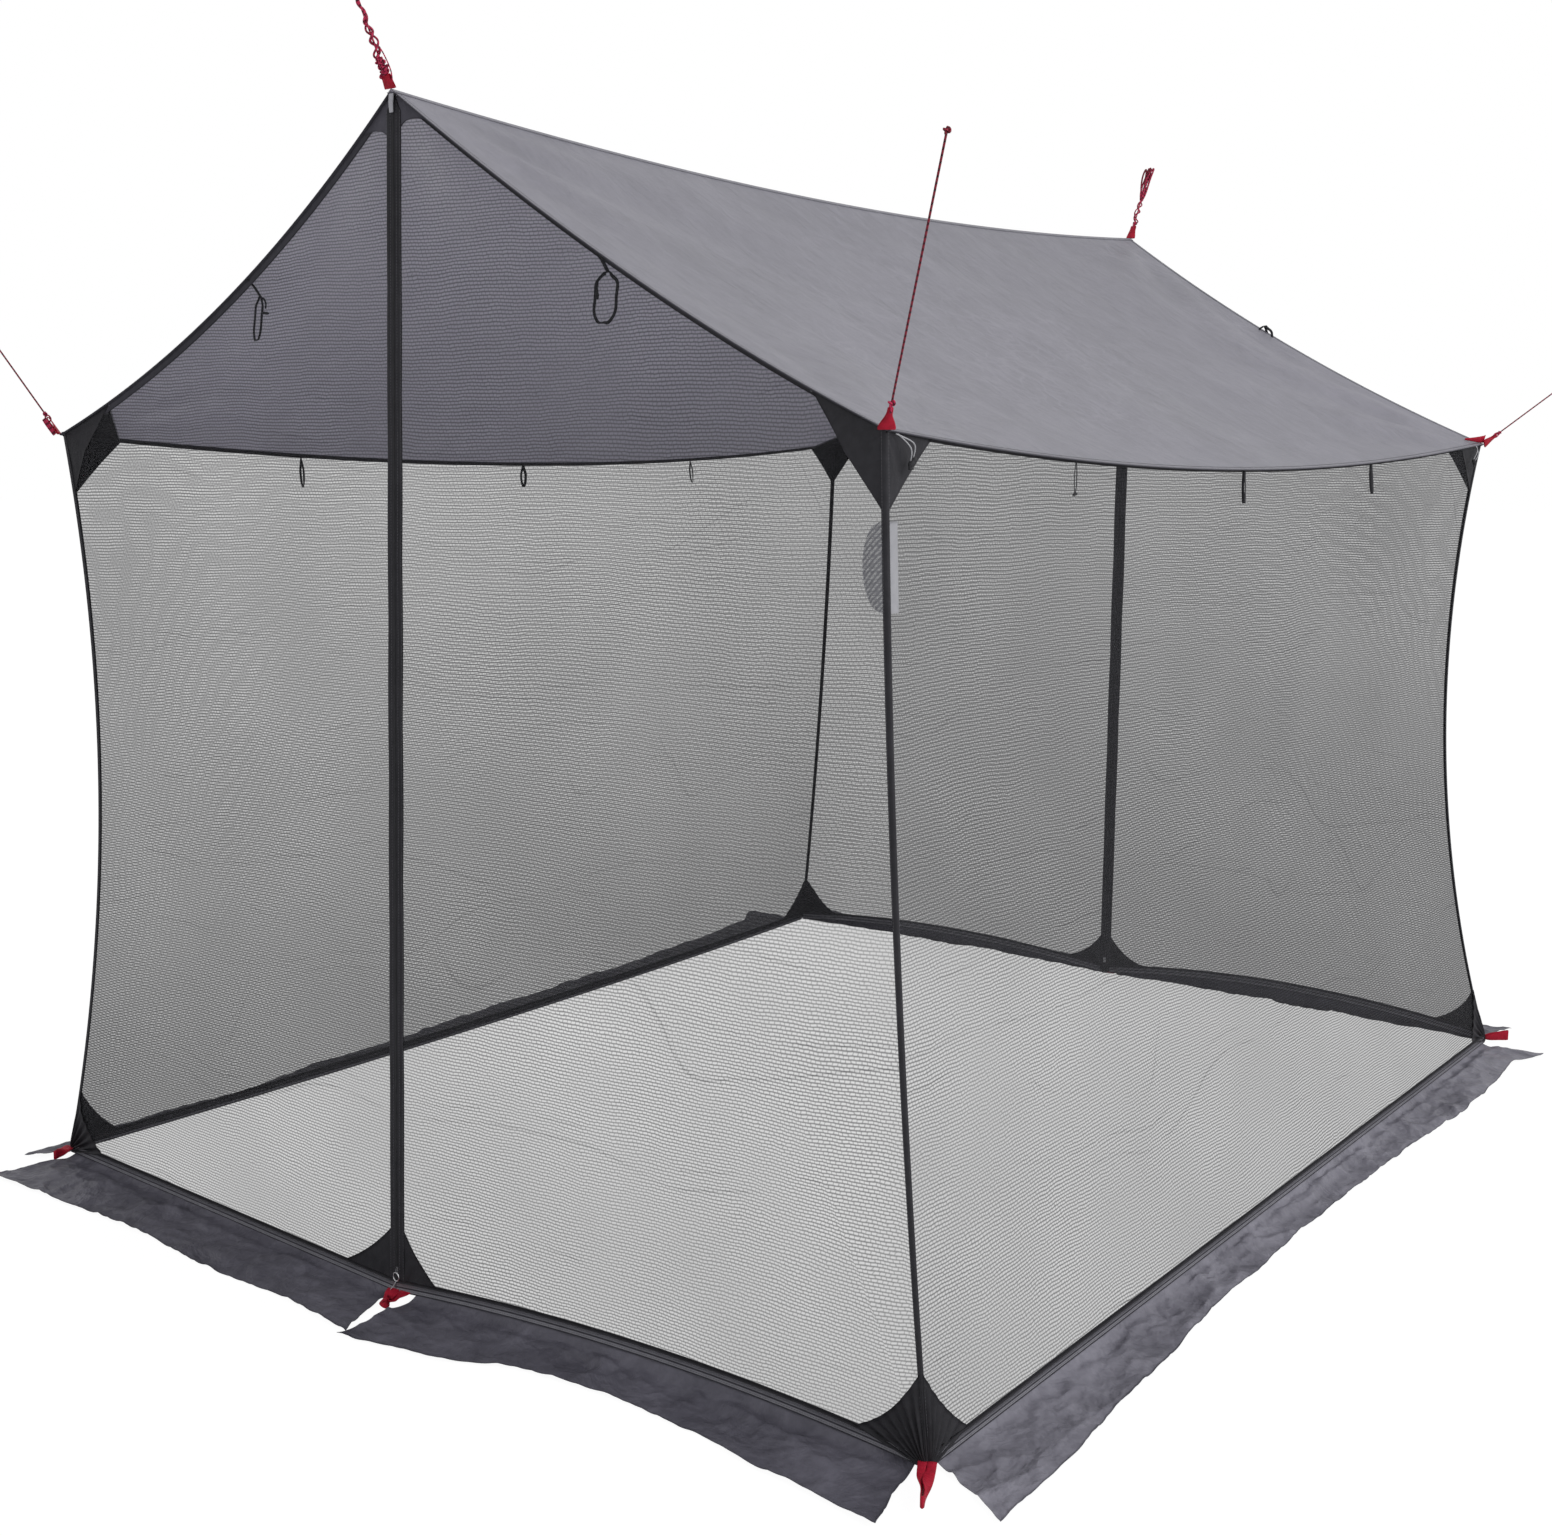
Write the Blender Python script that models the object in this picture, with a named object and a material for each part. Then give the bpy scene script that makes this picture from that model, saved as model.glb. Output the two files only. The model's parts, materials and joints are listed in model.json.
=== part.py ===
# Screen tent: a tarp roof with four net walls, hung by its guy lines and open underneath.
# X runs across the gables, Y along the ridge with the front gable at -Y, and Z is up.
# The origin is on the ground at the middle of the footprint, skirt included.
import math

import bmesh
import bpy
from mathutils import Vector

# Footprint and heights, in metres
BASE_WIDTH = 2.40
BASE_LENGTH = 3.00
EAVE_WIDTH = 2.17
EAVE_HEIGHT = 1.70
RIDGE_HEIGHT = 2.32

# How far the edges of the cloth are drawn in or hang between the points that hold them
RIDGE_SAG = 0.056
EAVE_SAG = 0.066
EAVE_DRAW = 0.030
GABLE_DRAW = 0.065
FRONT_RAFTER_SAG = 0.074
BACK_RAFTER_SAG = 0.008
SEAM_BOW = 0.050
HEM_HEIGHT = 0.014
HEM_RISE = 0.050
SIDE_HEM_BOW = 0.030
FRONT_DOOR_PULL = 0.063
BACK_DOOR_PULL = 0.004

# Cloth, tape and net
CLOTH = 0.0012
NET = 0.0010
BINDING = 0.0016
BINDING_WIDTH = 0.014
RIDGE_TAPE_WIDTH = 0.022
OVERHANG = 0.008
CLEAR = 0.0004
SEAT = 0.0003
HINGE_GAP = 0.0004

# Corner seams and their gussets
SEAM_WIDTH = 0.009
GUSSET_HEIGHT = 0.165
GUSSET_WIDTH = 0.150
GUSSET_DEPTH = 0.055
GUSSET_CURVE = 1.4

# Doors: two panels meet at a vertical zip in each gable
ZIP_TAPE_WIDTH = 0.016
CHAIN_WIDTH = 0.006
CHAIN_PROUD = 0.0012
DOOR_GUSSET_HEIGHT = 0.145
DOOR_GUSSET_WIDTH = 0.160
HEM_BAND = 0.012
NET_EDGE = 0.012
EDGE_LEAST = 0.004

# Slider
SLIDER_WALL = 0.0010
SLIDER_PLATE = 0.0016
SLIDER_LENGTH = 0.016
SLIDER_HEIGHT = 0.040
RING_RADIUS = 0.0085
RING_WIRE = 0.0012

# Mud skirt
SKIRT_WIDTH = 0.200
SKIRT_WAVE = 0.014
SKIRT_PITCH = 0.240
SKIRT_FLARE = 0.060
SKIRT_CORNER_GAP = 0.034
SKIRT_ZIP_GAP = 0.044
SKIRT_SEAM = 0.0012
SKIRT_TIP_GAP = 0.003

# Webbing loops
WEBBING = 0.0018
WEBBING_BAND = 0.009
STAKE_LOOP_WIDTH = 0.034
STAKE_LOOP_LENGTH = 0.130
ZIP_LOOP_LENGTH = 0.066
TAB_LENGTH = 0.046
TAB_WIDTH = 0.028
LOOP_TIP = 0.024
LOOP_RISE = 0.002
EAVE_LOOP_LENGTH = 0.076
EAVE_LOOP_WIDTH = 0.026
EAVE_LOOP_BAND = 0.0055
EAVE_LOOP_PLACES = (0.22, 0.48, 0.73)
TIE_LENGTH = 0.096
TIE_WIDTH = 0.052
TIE_BAND = 0.007
TIE_TOP = 0.004
TIE_CHAMFER = 0.028
TIE_LEAN = 0.03
TOGGLE_LENGTH = 0.036
TOGGLE_RADIUS = 0.0035

# Guy lines: how steeply each one leaves the tent, in degrees, and the length that is made
LINE_RADIUS = 0.0018
GUY_LINES = {
    "front_right": (47.0, 0.535),
    "front_left": (57.0, 0.270),
    "back_right": (36.0, 0.270),
    "back_left": (45.0, 0.270),
    "front_apex": (63.0, 0.210),
    "back_apex": (62.0, 0.250),
}

# How finely the curved edges are divided
LENGTH_STEPS = 14
RAFTER_STEPS = 7
TIE_PLACE = 3.0 / RAFTER_STEPS
SEAM_STEPS = 5
GUSSET_STEPS = 5

UP = Vector((0.0, 0.0, 1.0))
SIDES = {"left": -1.0, "right": 1.0}
ENDS = {"front": -1.0, "back": 1.0}
# The left panel of each door carries the zip chain, so the other one can swing by itself.
CHAIN_SIDE = -1.0


def arch(t):
    return 4.0 * t * (1.0 - t)


def lerp(a, b, t):
    return a + (b - a) * t


def spread(count, first=0.0, last=1.0):
    return [first + (last - first) * i / count for i in range(count + 1)]


# Roof surface

def roof_half_width(u):
    return EAVE_WIDTH / 2.0 + OVERHANG - EAVE_DRAW * arch(u)


def roof_point(side, u, v):
    """Point on the roof's outer face: u runs from front to back, v from ridge to eave."""
    y = (u - 0.5) * (BASE_LENGTH + 2.0 * OVERHANG - 2.0 * GABLE_DRAW * arch(v))
    ridge = RIDGE_HEIGHT - RIDGE_SAG * arch(u)
    eave = EAVE_HEIGHT - EAVE_SAG * arch(u)
    hang = lerp(FRONT_RAFTER_SAG, BACK_RAFTER_SAG, u) * arch(v)
    return Vector((side * roof_half_width(u) * v, y, lerp(ridge, eave, v) - hang))


def roof_station(y, v):
    return 0.5 + y / (BASE_LENGTH + 2.0 * OVERHANG - 2.0 * GABLE_DRAW * arch(v))


def slope_length(u):
    return (roof_point(1.0, u, 1.0) - roof_point(1.0, u, 0.0)).length


def roof_underside(side, u, v):
    """Point below a place on the roof's edge, on the binding's inner face."""
    step = 0.01
    down = roof_point(side, u, v) - roof_point(side, u, v - step)
    along = roof_point(side, min(u + step, 1.0), v) - roof_point(side, max(u - step, 0.0), v)
    normal = down.cross(along).normalized() * -side
    return roof_point(side, u, v) - (normal if normal.z > 0.0 else -normal) * BINDING


# Wall edges: the top edges run just below the roof

TOP_DROP = 1.3 * BINDING + CLEAR
NET_TOP_DROP = TOP_DROP + 0.0007


def side_top(side, y, drop):
    u = roof_station(y, 1.0)
    v = (roof_half_width(u) - OVERHANG) / roof_half_width(u)
    return roof_point(side, u, v) - UP * drop


def gable_top(side, end, v, drop):
    u = roof_station(end * (BASE_LENGTH / 2.0 - GABLE_DRAW * arch(v)), v)
    return roof_point(side, u, v) - UP * drop


def bottom_corner(side, end):
    return Vector((side * BASE_WIDTH / 2.0, end * BASE_LENGTH / 2.0, HEM_HEIGHT))


def top_corner(side, end):
    return side_top(side, end * BASE_LENGTH / 2.0, TOP_DROP)


def seam_point(side, end, v):
    """Corner seam, from the ground at v = 0 to the eave at v = 1."""
    straight = lerp(bottom_corner(side, end), top_corner(side, end), v)
    return straight - Vector((side, end, 0.0)) * SEAM_BOW * arch(v)


def seam_rows():
    step = GUSSET_HEIGHT / EAVE_HEIGHT
    low = spread(GUSSET_STEPS, 0.0, step)
    middle = spread(SEAM_STEPS, step, 1.0 - step)
    high = spread(GUSSET_STEPS, 1.0 - step, 1.0)
    return low + middle[1:-1] + high


def gusset_reach(distance, width):
    """Width of a gusset beside its seam, at a distance from the corner that it fills."""
    share = min(distance / GUSSET_HEIGHT, 1.0) ** (1.0 / GUSSET_CURVE)
    return width * (1.0 - share) ** GUSSET_CURVE


def side_leg_width(v):
    below = gusset_reach(v * EAVE_HEIGHT, GUSSET_WIDTH)
    above = gusset_reach((1.0 - v) * EAVE_HEIGHT, GUSSET_WIDTH)
    return SEAM_WIDTH + below + above


def side_hem(side, u):
    x = side * (BASE_WIDTH / 2.0 + SIDE_HEM_BOW * arch(u))
    return Vector((x, (u - 0.5) * BASE_LENGTH, HEM_HEIGHT + HEM_RISE * arch(u)))


def side_wall(side, u, v, drop=TOP_DROP):
    """Side wall between the two corner seams, the hem and the eave."""
    y = (u - 0.5) * BASE_LENGTH
    bottom, top = side_hem(side, u), side_top(side, y, drop)
    front, back = seam_point(side, -1.0, v), seam_point(side, 1.0, v)
    corners_front = lerp(side_hem(side, 0.0), side_top(side, -BASE_LENGTH / 2.0, TOP_DROP), v)
    corners_back = lerp(side_hem(side, 1.0), side_top(side, BASE_LENGTH / 2.0, TOP_DROP), v)
    return lerp(bottom, top, v) + lerp(front, back, u) - lerp(corners_front, corners_back, u)


# Gable ends: a door panel hangs on the straight line from the apex to each bottom corner

def apex(end):
    return gable_top(1.0, end, 0.0, TOP_DROP)


def hinge_point(side, end, t):
    return lerp(apex(end), bottom_corner(side, end), t)


def hinge_share():
    """Where the eave corner stands square to the hinge line, as a share of that line."""
    line = bottom_corner(1.0, -1.0) - apex(-1.0)
    return (top_corner(1.0, -1.0) - apex(-1.0)).dot(line) / line.length_squared


def gable_rows(side, end):
    """Pairs of points, hinge line to outer edge, down the fixed part of a gable wall."""
    foot = hinge_share()
    rows = []
    wing = [1.0 - GUSSET_HEIGHT * share / slope_length(0.0) for share in (0.85, 0.65, 0.42, 0.2)]
    for v in spread(RAFTER_STEPS)[:-1] + wing:
        v = max(v, 0.045)
        outer = gable_top(side, end, v, TOP_DROP)
        gap = (outer - top_corner(side, end)).length
        rows.append((hinge_point(side, end, foot * v), outer, gap, False))
    for v in reversed(seam_rows()):
        outer = seam_point(side, end, v)
        gap = (1.0 - v) * EAVE_HEIGHT
        rows.append((hinge_point(side, end, lerp(1.0, foot, v)), outer, gap, True))
    return rows


def end_leg_width(row):
    hinge, outer, gap, on_seam = row
    room = (outer - hinge).length - 3.0 * HINGE_GAP - CLEAR
    wide = gusset_reach(gap, GUSSET_DEPTH)
    if on_seam:
        wide += SEAM_WIDTH + gusset_reach(EAVE_HEIGHT - gap, GUSSET_WIDTH)
    return min(wide, room)


# Building helpers

def paint(obj, name, colour, roughness, metallic=0.0, alpha=1.0):
    material = bpy.data.materials.new(name)
    material.use_nodes = True
    shader = material.node_tree.nodes["Principled BSDF"]
    shader.inputs["Base Color"].default_value = (*colour, 1.0)
    shader.inputs["Roughness"].default_value = roughness
    shader.inputs["Metallic"].default_value = metallic
    shader.inputs["Alpha"].default_value = alpha
    material.diffuse_color = (*colour, alpha)
    obj.data.materials.append(material)


FINISHES = {
    "roof": ("Roof cloth", (0.27, 0.27, 0.30), 0.6, 0.0, 1.0),
    "tape": ("Grey tape", (0.20, 0.20, 0.22), 0.7, 0.0, 1.0),
    "net": ("Mosquito net", (0.10, 0.10, 0.11), 0.8, 0.0, 0.35),
    "black": ("Black cloth", (0.02, 0.02, 0.024), 0.75, 0.0, 1.0),
    "skirt": ("Skirt cloth", (0.09, 0.085, 0.11), 0.6, 0.0, 1.0),
    "red": ("Red webbing", (0.55, 0.01, 0.04), 0.7, 0.0, 1.0),
    "line": ("Red line", (0.60, 0.03, 0.08), 0.7, 0.0, 1.0),
    "webbing": ("Black webbing", (0.03, 0.03, 0.035), 0.7, 0.0, 1.0),
    "metal": ("Slider metal", (0.45, 0.45, 0.47), 0.3, 1.0, 1.0),
}


def add_object(name, mesh, finish, carrier=None):
    obj = bpy.data.objects.new(name, mesh)
    bpy.context.scene.collection.objects.link(obj)
    label, colour, roughness, metallic, alpha = FINISHES[finish]
    paint(obj, label + " " + name, colour, roughness, metallic, alpha)
    if carrier is not None:
        for vertex in mesh.vertices:
            vertex.co -= carrier.location
        obj.parent = carrier
    return obj


def pivot(name, place):
    """An empty on a joint's axis, which carries the pieces that move with it."""
    empty = bpy.data.objects.new(name, None)
    empty.location = place
    bpy.context.scene.collection.objects.link(empty)
    return empty


def sheet(name, points, faces, outward, thickness, finish, carrier=None):
    """A thin cloth panel whose outer face goes through the points."""
    mesh = bpy.data.meshes.new(name)
    mesh.from_pydata([tuple(p) for p in points], [], faces)
    total = Vector((0.0, 0.0, 0.0))
    for face in mesh.polygons:
        total += face.normal * face.area
    if total.dot(Vector(outward)) < 0.0:
        mesh.flip_normals()
    obj = add_object(name, mesh, finish, carrier)
    solid = obj.modifiers.new("Cloth thickness", "SOLIDIFY")
    solid.thickness = thickness
    solid.offset = -1.0
    return obj


def grid_faces(rows, columns):
    faces = []
    for i in range(rows - 1):
        for j in range(columns - 1):
            k = i * columns + j
            faces.append((k, k + 1, k + columns + 1, k + columns))
    return faces


def grid_sheet(name, rows, outward, thickness, finish, carrier=None):
    points = [p for row in rows for p in row]
    faces = grid_faces(len(rows), len(rows[0]))
    return sheet(name, points, faces, outward, thickness, finish, carrier)


def plate(name, outline, thickness, outward, finish, carrier=None):
    """A flat panel with any outline, its outer face on the outline's own plane."""
    form = bmesh.new()
    face = form.faces.new([form.verts.new(p) for p in outline])
    face.normal_update()
    if face.normal.dot(outward) < 0.0:
        face.normal_flip()
    inward = -outward.normalized() * thickness
    made = bmesh.ops.extrude_face_region(form, geom=[face], use_keep_orig=True)
    moved = [item for item in made["geom"] if isinstance(item, bmesh.types.BMVert)]
    bmesh.ops.translate(form, vec=inward, verts=moved)
    bmesh.ops.recalc_face_normals(form, faces=form.faces)
    mesh = bpy.data.meshes.new(name)
    form.to_mesh(mesh)
    form.free()
    return add_object(name, mesh, finish, carrier)


def ring_form(form, outer, inner, across):
    """Closed ring between two outlines with as many points each, as deep as across."""
    count = len(outer)
    loops = []
    for points, shift in ((outer, 0.5), (outer, -0.5), (inner, -0.5), (inner, 0.5)):
        loops.append([form.verts.new(p + across * shift) for p in points])
    for first, second in zip(loops, loops[1:] + loops[:1]):
        for i in range(count):
            j = (i + 1) % count
            form.faces.new((first[i], first[j], second[j], second[i]))
    bmesh.ops.recalc_face_normals(form, faces=form.faces)


def ring_plate(name, outer, inner, across, finish, carrier=None):
    form = bmesh.new()
    ring_form(form, outer, inner, across)
    mesh = bpy.data.meshes.new(name)
    form.to_mesh(mesh)
    form.free()
    return add_object(name, mesh, finish, carrier)


def box_mesh(name, centre, axes, sizes):
    form = bmesh.new()
    bmesh.ops.create_cube(form, size=1.0)
    for vertex in form.verts:
        local = vertex.co.copy()
        vertex.co = centre + sum((axes[i] * local[i] * sizes[i] for i in range(3)), Vector())
    bmesh.ops.recalc_face_normals(form, faces=form.faces)
    mesh = bpy.data.meshes.new(name)
    form.to_mesh(mesh)
    form.free()
    return mesh


def join_form(obj, mesh, carrier=None):
    """Unite another closed form with the object."""
    tool = bpy.data.objects.new(obj.name + " form", mesh)
    bpy.context.scene.collection.objects.link(tool)
    tool.hide_render = True
    tool.display_type = "WIRE"
    if carrier is not None:
        for vertex in mesh.vertices:
            vertex.co -= carrier.location
        tool.parent = carrier
    union = obj.modifiers.new("Unite", "BOOLEAN")
    union.operation = "UNION"
    union.object = tool


# Roof

def build_roof():
    tape = RIDGE_TAPE_WIDTH / 2.0 / slope_length(0.5)
    edge = 1.0 - BINDING_WIDTH / slope_length(0.5)
    gap = CLEAR / slope_length(0.5)
    columns = spread(RAFTER_STEPS)
    strip = [tape + gap] + columns[1:-1] + [edge]
    cloth = [tape + gap] + columns[1:-1] + [edge - gap]
    length = BASE_LENGTH + 2.0 * OVERHANG
    first = BINDING_WIDTH / length
    stations = [roof_station(y, 1.0) for y in spread(LENGTH_STEPS, -BASE_LENGTH / 2.0, BASE_LENGTH / 2.0)]
    inner = stations[1:-1]
    for label, side in SIDES.items():
        outward = (side, 0.0, 1.0)
        clear = CLEAR / length
        rows = [[roof_point(side, u, v) for v in cloth] for u in [first + clear] + inner + [1.0 - first - clear]]
        grid_sheet("roof_slope_" + label, rows, outward, CLOTH, "roof")
        outer_edge = [(0.0, v) for v in strip[:-1]] + [(0.0, 1.0)]
        inner_edge = [(first, v) for v in strip[:-1]] + [(first, edge)]
        outer_edge += [(u, 1.0) for u in inner] + [(1.0, 1.0)]
        inner_edge += [(u, edge) for u in inner] + [(1.0 - first, edge)]
        outer_edge += [(1.0, v) for v in reversed(strip[:-1])]
        inner_edge += [(1.0 - first, v) for v in reversed(strip[:-1])]
        rows = [[roof_point(side, *a), roof_point(side, *b)] for a, b in zip(outer_edge, inner_edge)]
        grid_sheet("roof_binding_" + label, rows, outward, BINDING, "tape")
    rows = []
    for u in [0.0] + inner + [1.0]:
        rows.append([roof_point(-1.0, u, tape), roof_point(1.0, u, 0.0), roof_point(1.0, u, tape)])
    grid_sheet("ridge_tape", rows, (0.0, 0.0, 1.0), BINDING, "tape")


# Side walls

def build_side_walls():
    for label, side in SIDES.items():
        rows = []
        for v in seam_rows():
            start = (side_leg_width(v) + CLEAR) / BASE_LENGTH
            drop = lerp(TOP_DROP, NET_TOP_DROP, v)
            rows.append([side_wall(side, u, v, drop) for u in spread(LENGTH_STEPS - 2, start, 1.0 - start)])
        grid_sheet("side_net_" + label, rows, (side, 0.0, 0.0), NET, "net")


# Corner seams with their top and bottom gussets, folded over the corner

def build_corners():
    for end_label, end in ENDS.items():
        for side_label, side in SIDES.items():
            points, faces, seam_line = [], [], []
            above = None
            for row in gable_rows(side, end):
                hinge, outer, gap, on_seam = row
                width = end_leg_width(row)
                start = None
                if width >= EDGE_LEAST:
                    start = len(points)
                    points += [outer, lerp(outer, hinge, width / (outer - hinge).length)]
                    if above is not None:
                        faces.append((above, above + 1, start + 1, start))
                    above = start
                if on_seam:
                    seam_line.append(start)
            previous = None
            for seam, v in zip(seam_line, reversed(seam_rows())):
                if seam is None:
                    seam = len(points)
                    points.append(seam_point(side, end, v))
                u = side_leg_width(v) / BASE_LENGTH
                points.append(side_wall(side, u if end < 0.0 else 1.0 - u, v))
                pair = (seam, len(points) - 1)
                if previous is not None:
                    faces.append((previous[0], previous[1], pair[1], pair[0]))
                previous = pair
            mesh_faces = orient(points, faces, Vector((side, end, 0.0)))
            name = "corner_" + end_label + "_" + side_label
            sheet(name, points, mesh_faces, (side, end, 0.0), CLOTH, "black")


def orient(points, faces, outward):
    """Wind every face so that its normal points outward."""
    turned = []
    for face in faces:
        a, b, c = (Vector(points[i]) for i in face[:3])
        normal = (b - a).cross(c - a)
        turned.append(face if normal.dot(outward) > 0.0 else tuple(reversed(face)))
    return turned


# Fixed part of each gable wall, between the hinge line, the rafter and the corner seam

def build_gable_nets():
    for end_label, end in ENDS.items():
        for side_label, side in SIDES.items():
            rows = []
            for row in gable_rows(side, end):
                hinge, outer, gap, on_seam = row
                span = (outer - hinge).length
                width = end_leg_width(row)
                if width < EDGE_LEAST:
                    width = -CLEAR
                first = 2.0 * HINGE_GAP / span
                last = 1.0 - (width + CLEAR) / span
                if (last - first) * span < NET_EDGE:
                    continue
                low = UP * (0.0 if on_seam else NET_TOP_DROP - TOP_DROP)
                rows.append([lerp(hinge, outer, s) - low for s in spread(4, first, last)])
            name = end_label + "_net_" + side_label
            grid_sheet(name, rows, (0.0, end, 0.0), NET, "net")


# Doors

class Door:
    """One door panel's plane, seen in the gable plane with x from the zip to the corner."""

    def __init__(self, side, end):
        self.side = side
        self.end = end
        self.top = apex(end).z
        self.half = BASE_WIDTH / 2.0
        self.pull = FRONT_DOOR_PULL if end < 0.0 else BACK_DOOR_PULL
        self.slope = (self.top - HEM_HEIGHT) / self.half
        self.outward = (self.place(0.0, HEM_HEIGHT) - self.place(self.half, HEM_HEIGHT)).cross(
            self.place(0.0, self.top) - self.place(self.half, HEM_HEIGHT)).normalized()
        if self.outward.y * end < 0.0:
            self.outward.negate()

    def hinge_z(self, x):
        return self.top - self.slope * x

    def hem_z(self, x):
        return HEM_HEIGHT + HEM_RISE * arch(min(max(x / self.half, 0.0), 1.0))

    def place(self, x, z, out=0.0):
        """Point of the panel; the door stands out most at the foot of the zip."""
        away = (self.hinge_z(x) - z) / (self.top - HEM_HEIGHT)
        y = self.end * (BASE_LENGTH / 2.0 + self.pull * away)
        point = Vector((self.side * x, y, z))
        return point + self.outward * out if out else point

    def gusset_curve(self, gap):
        """Curved edge beside the zip gusset, from the hem band up to the tape."""
        edge = []
        for t in spread(GUSSET_STEPS):
            x = ZIP_TAPE_WIDTH + DOOR_GUSSET_WIDTH * (1.0 - t) ** GUSSET_CURVE + gap
            z = self.hem_z(x) * (1.0 - t) + (HEM_HEIGHT + DOOR_GUSSET_HEIGHT) * t
            edge.append((x, max(z, self.hem_z(x) + HEM_BAND) + gap))
        return edge

    def corner_curve(self, gap):
        """Curved edge beside the corner gusset, from the hem band up to the hinge line."""
        edge = []
        for t in spread(GUSSET_STEPS):
            x = self.half - GUSSET_WIDTH * (1.0 - t) ** GUSSET_CURVE - gap
            z = HEM_HEIGHT + GUSSET_HEIGHT * t ** GUSSET_CURVE + gap
            if z < self.hinge_z(x) - 0.012:
                edge.append((x, max(z, self.hem_z(x) + HEM_BAND + gap)))
        last_x, last_z = edge[-1]
        reach = (self.hinge_z(last_x) - last_z) / (self.slope + 1.0)
        edge.append((last_x + reach, last_z + reach))
        return edge

    def inside_hinge(self, x, gap):
        return self.hinge_z(x) - gap * math.hypot(1.0, self.slope)


def build_door(end_label, end, side_label, side):
    door = Door(side, end)
    name = end_label + "_door_"
    carrier = pivot(name + side_label, bottom_corner(side, end))
    carries_chain = side == CHAIN_SIDE
    zip_edge = -CHAIN_WIDTH / 2.0 if carries_chain else CHAIN_WIDTH / 2.0 + SLIDER_WALL + 2.0 * CLEAR
    top_x = ZIP_TAPE_WIDTH
    top_z = door.inside_hinge(top_x, HINGE_GAP)
    curve = door.gusset_curve(0.0)
    foot = door.corner_curve(0.0)
    foot[-1] = (foot[-1][0], door.inside_hinge(foot[-1][0], HINGE_GAP))
    hem_end = door.half - 0.012
    hem = [(x, door.hem_z(x)) for x in spread(8, max(zip_edge, 0.0), hem_end)]
    hem[0] = (zip_edge, hem[0][1])
    band = [(x, door.hem_z(x) + HEM_BAND) for x in spread(6, curve[0][0], foot[0][0])][1:-1]
    outline = hem + [(hem_end, door.inside_hinge(hem_end, HINGE_GAP))]
    outline += list(reversed(foot)) + list(reversed(band)) + curve
    outline += [(top_x, top_z), (zip_edge, top_z)]
    trim = plate(name + "trim_" + side_label, [door.place(*p) for p in outline],
                 CLOTH, door.outward, "black", carrier)
    if carries_chain:
        low, high = HEM_HEIGHT + 0.004, top_z - 0.004
        middle = door.place(0.0, (low + high) / 2.0, CHAIN_PROUD / 2.0 - CLOTH / 4.0)
        along = (door.place(0.0, high) - door.place(0.0, low)).normalized()
        axes = (door.outward.cross(along), along, door.outward)
        sizes = (CHAIN_WIDTH, high - low, CHAIN_PROUD + CLOTH / 2.0)
        join_form(trim, box_mesh(name + "chain", middle, axes, sizes), carrier)

    curve = door.gusset_curve(CLEAR)
    foot = door.corner_curve(CLEAR)
    foot[-1] = (foot[-1][0], door.inside_hinge(foot[-1][0], HINGE_GAP))
    band = [(x, door.hem_z(x) + HEM_BAND + CLEAR) for x in spread(6, curve[0][0], foot[0][0])][1:-1]
    tape = ZIP_TAPE_WIDTH + CLEAR
    outline = list(reversed(curve)) + band + foot
    outline += [(tape, door.inside_hinge(tape, HINGE_GAP))]
    plate(name + "net_" + side_label, [door.place(*p) for p in outline],
          NET, door.outward, "net", carrier)
    hem = [(SKIRT_ZIP_GAP, SKIRT_TIP_GAP), (door.half - SKIRT_CORNER_GAP, door.half - SKIRT_CORNER_GAP + SKIRT_FLARE)]
    build_skirt(name + "skirt_" + side_label, lambda s: door.place(s, door.hem_z(s)),
                Vector((0.0, end, 0.0)), Vector((side, 0.0, 0.0)), hem, 10, carrier)
    return door, carrier


# Mud skirt: it drops from the hem, then lies out on the ground in shallow waves

def build_skirt(name, hem_at, outward, along, ends, count, carrier=None):
    (start, outer_start), (stop, outer_stop) = ends
    steps = ((0.0, 1.0, 0.0), (0.05, 0.62, 0.0), (0.14, 0.16, 0.35), (0.34, 0.0, 0.9),
             (0.60, 0.0, 1.0), (0.80, 0.0, 0.0), (0.90, 0.0, 0.0), (1.0, 0.0, 0.0))
    stations = list(zip(spread(count, start, stop), spread(count, outer_start, outer_stop)))
    rows = []
    for share, height, wave in steps:
        row = []
        for inner, outer in stations:
            hem = hem_at(inner)
            run = lerp(inner, outer, share) - inner
            swell = 0.5 - 0.5 * math.cos(2.0 * math.pi * inner / SKIRT_PITCH)
            rise = max(hem.z - SKIRT_SEAM - CLOTH, 0.0) * height + SKIRT_WAVE * wave * swell
            ground = Vector((hem.x, hem.y, CLOTH + rise))
            row.append(ground + outward * (SKIRT_WIDTH * share) + along * run)
        rows.append(row)
    return grid_sheet(name, rows, (0.0, 0.0, 1.0) if abs(outward.z) < 0.5 else outward,
                      CLOTH, "skirt", carrier)


def build_side_skirts():
    for label, side in SIDES.items():
        gap, flare = SKIRT_CORNER_GAP, SKIRT_FLARE
        ends = [(gap, gap - flare), (BASE_LENGTH - gap, BASE_LENGTH - gap + flare)]
        build_skirt("side_skirt_" + label, lambda s: side_hem(side, s / BASE_LENGTH),
                    Vector((side, 0.0, 0.0)), Vector((0.0, 1.0, 0.0)), ends, 24)


# Zip slider: a clip round the chain, open towards the tape, with a ring to pull

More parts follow.
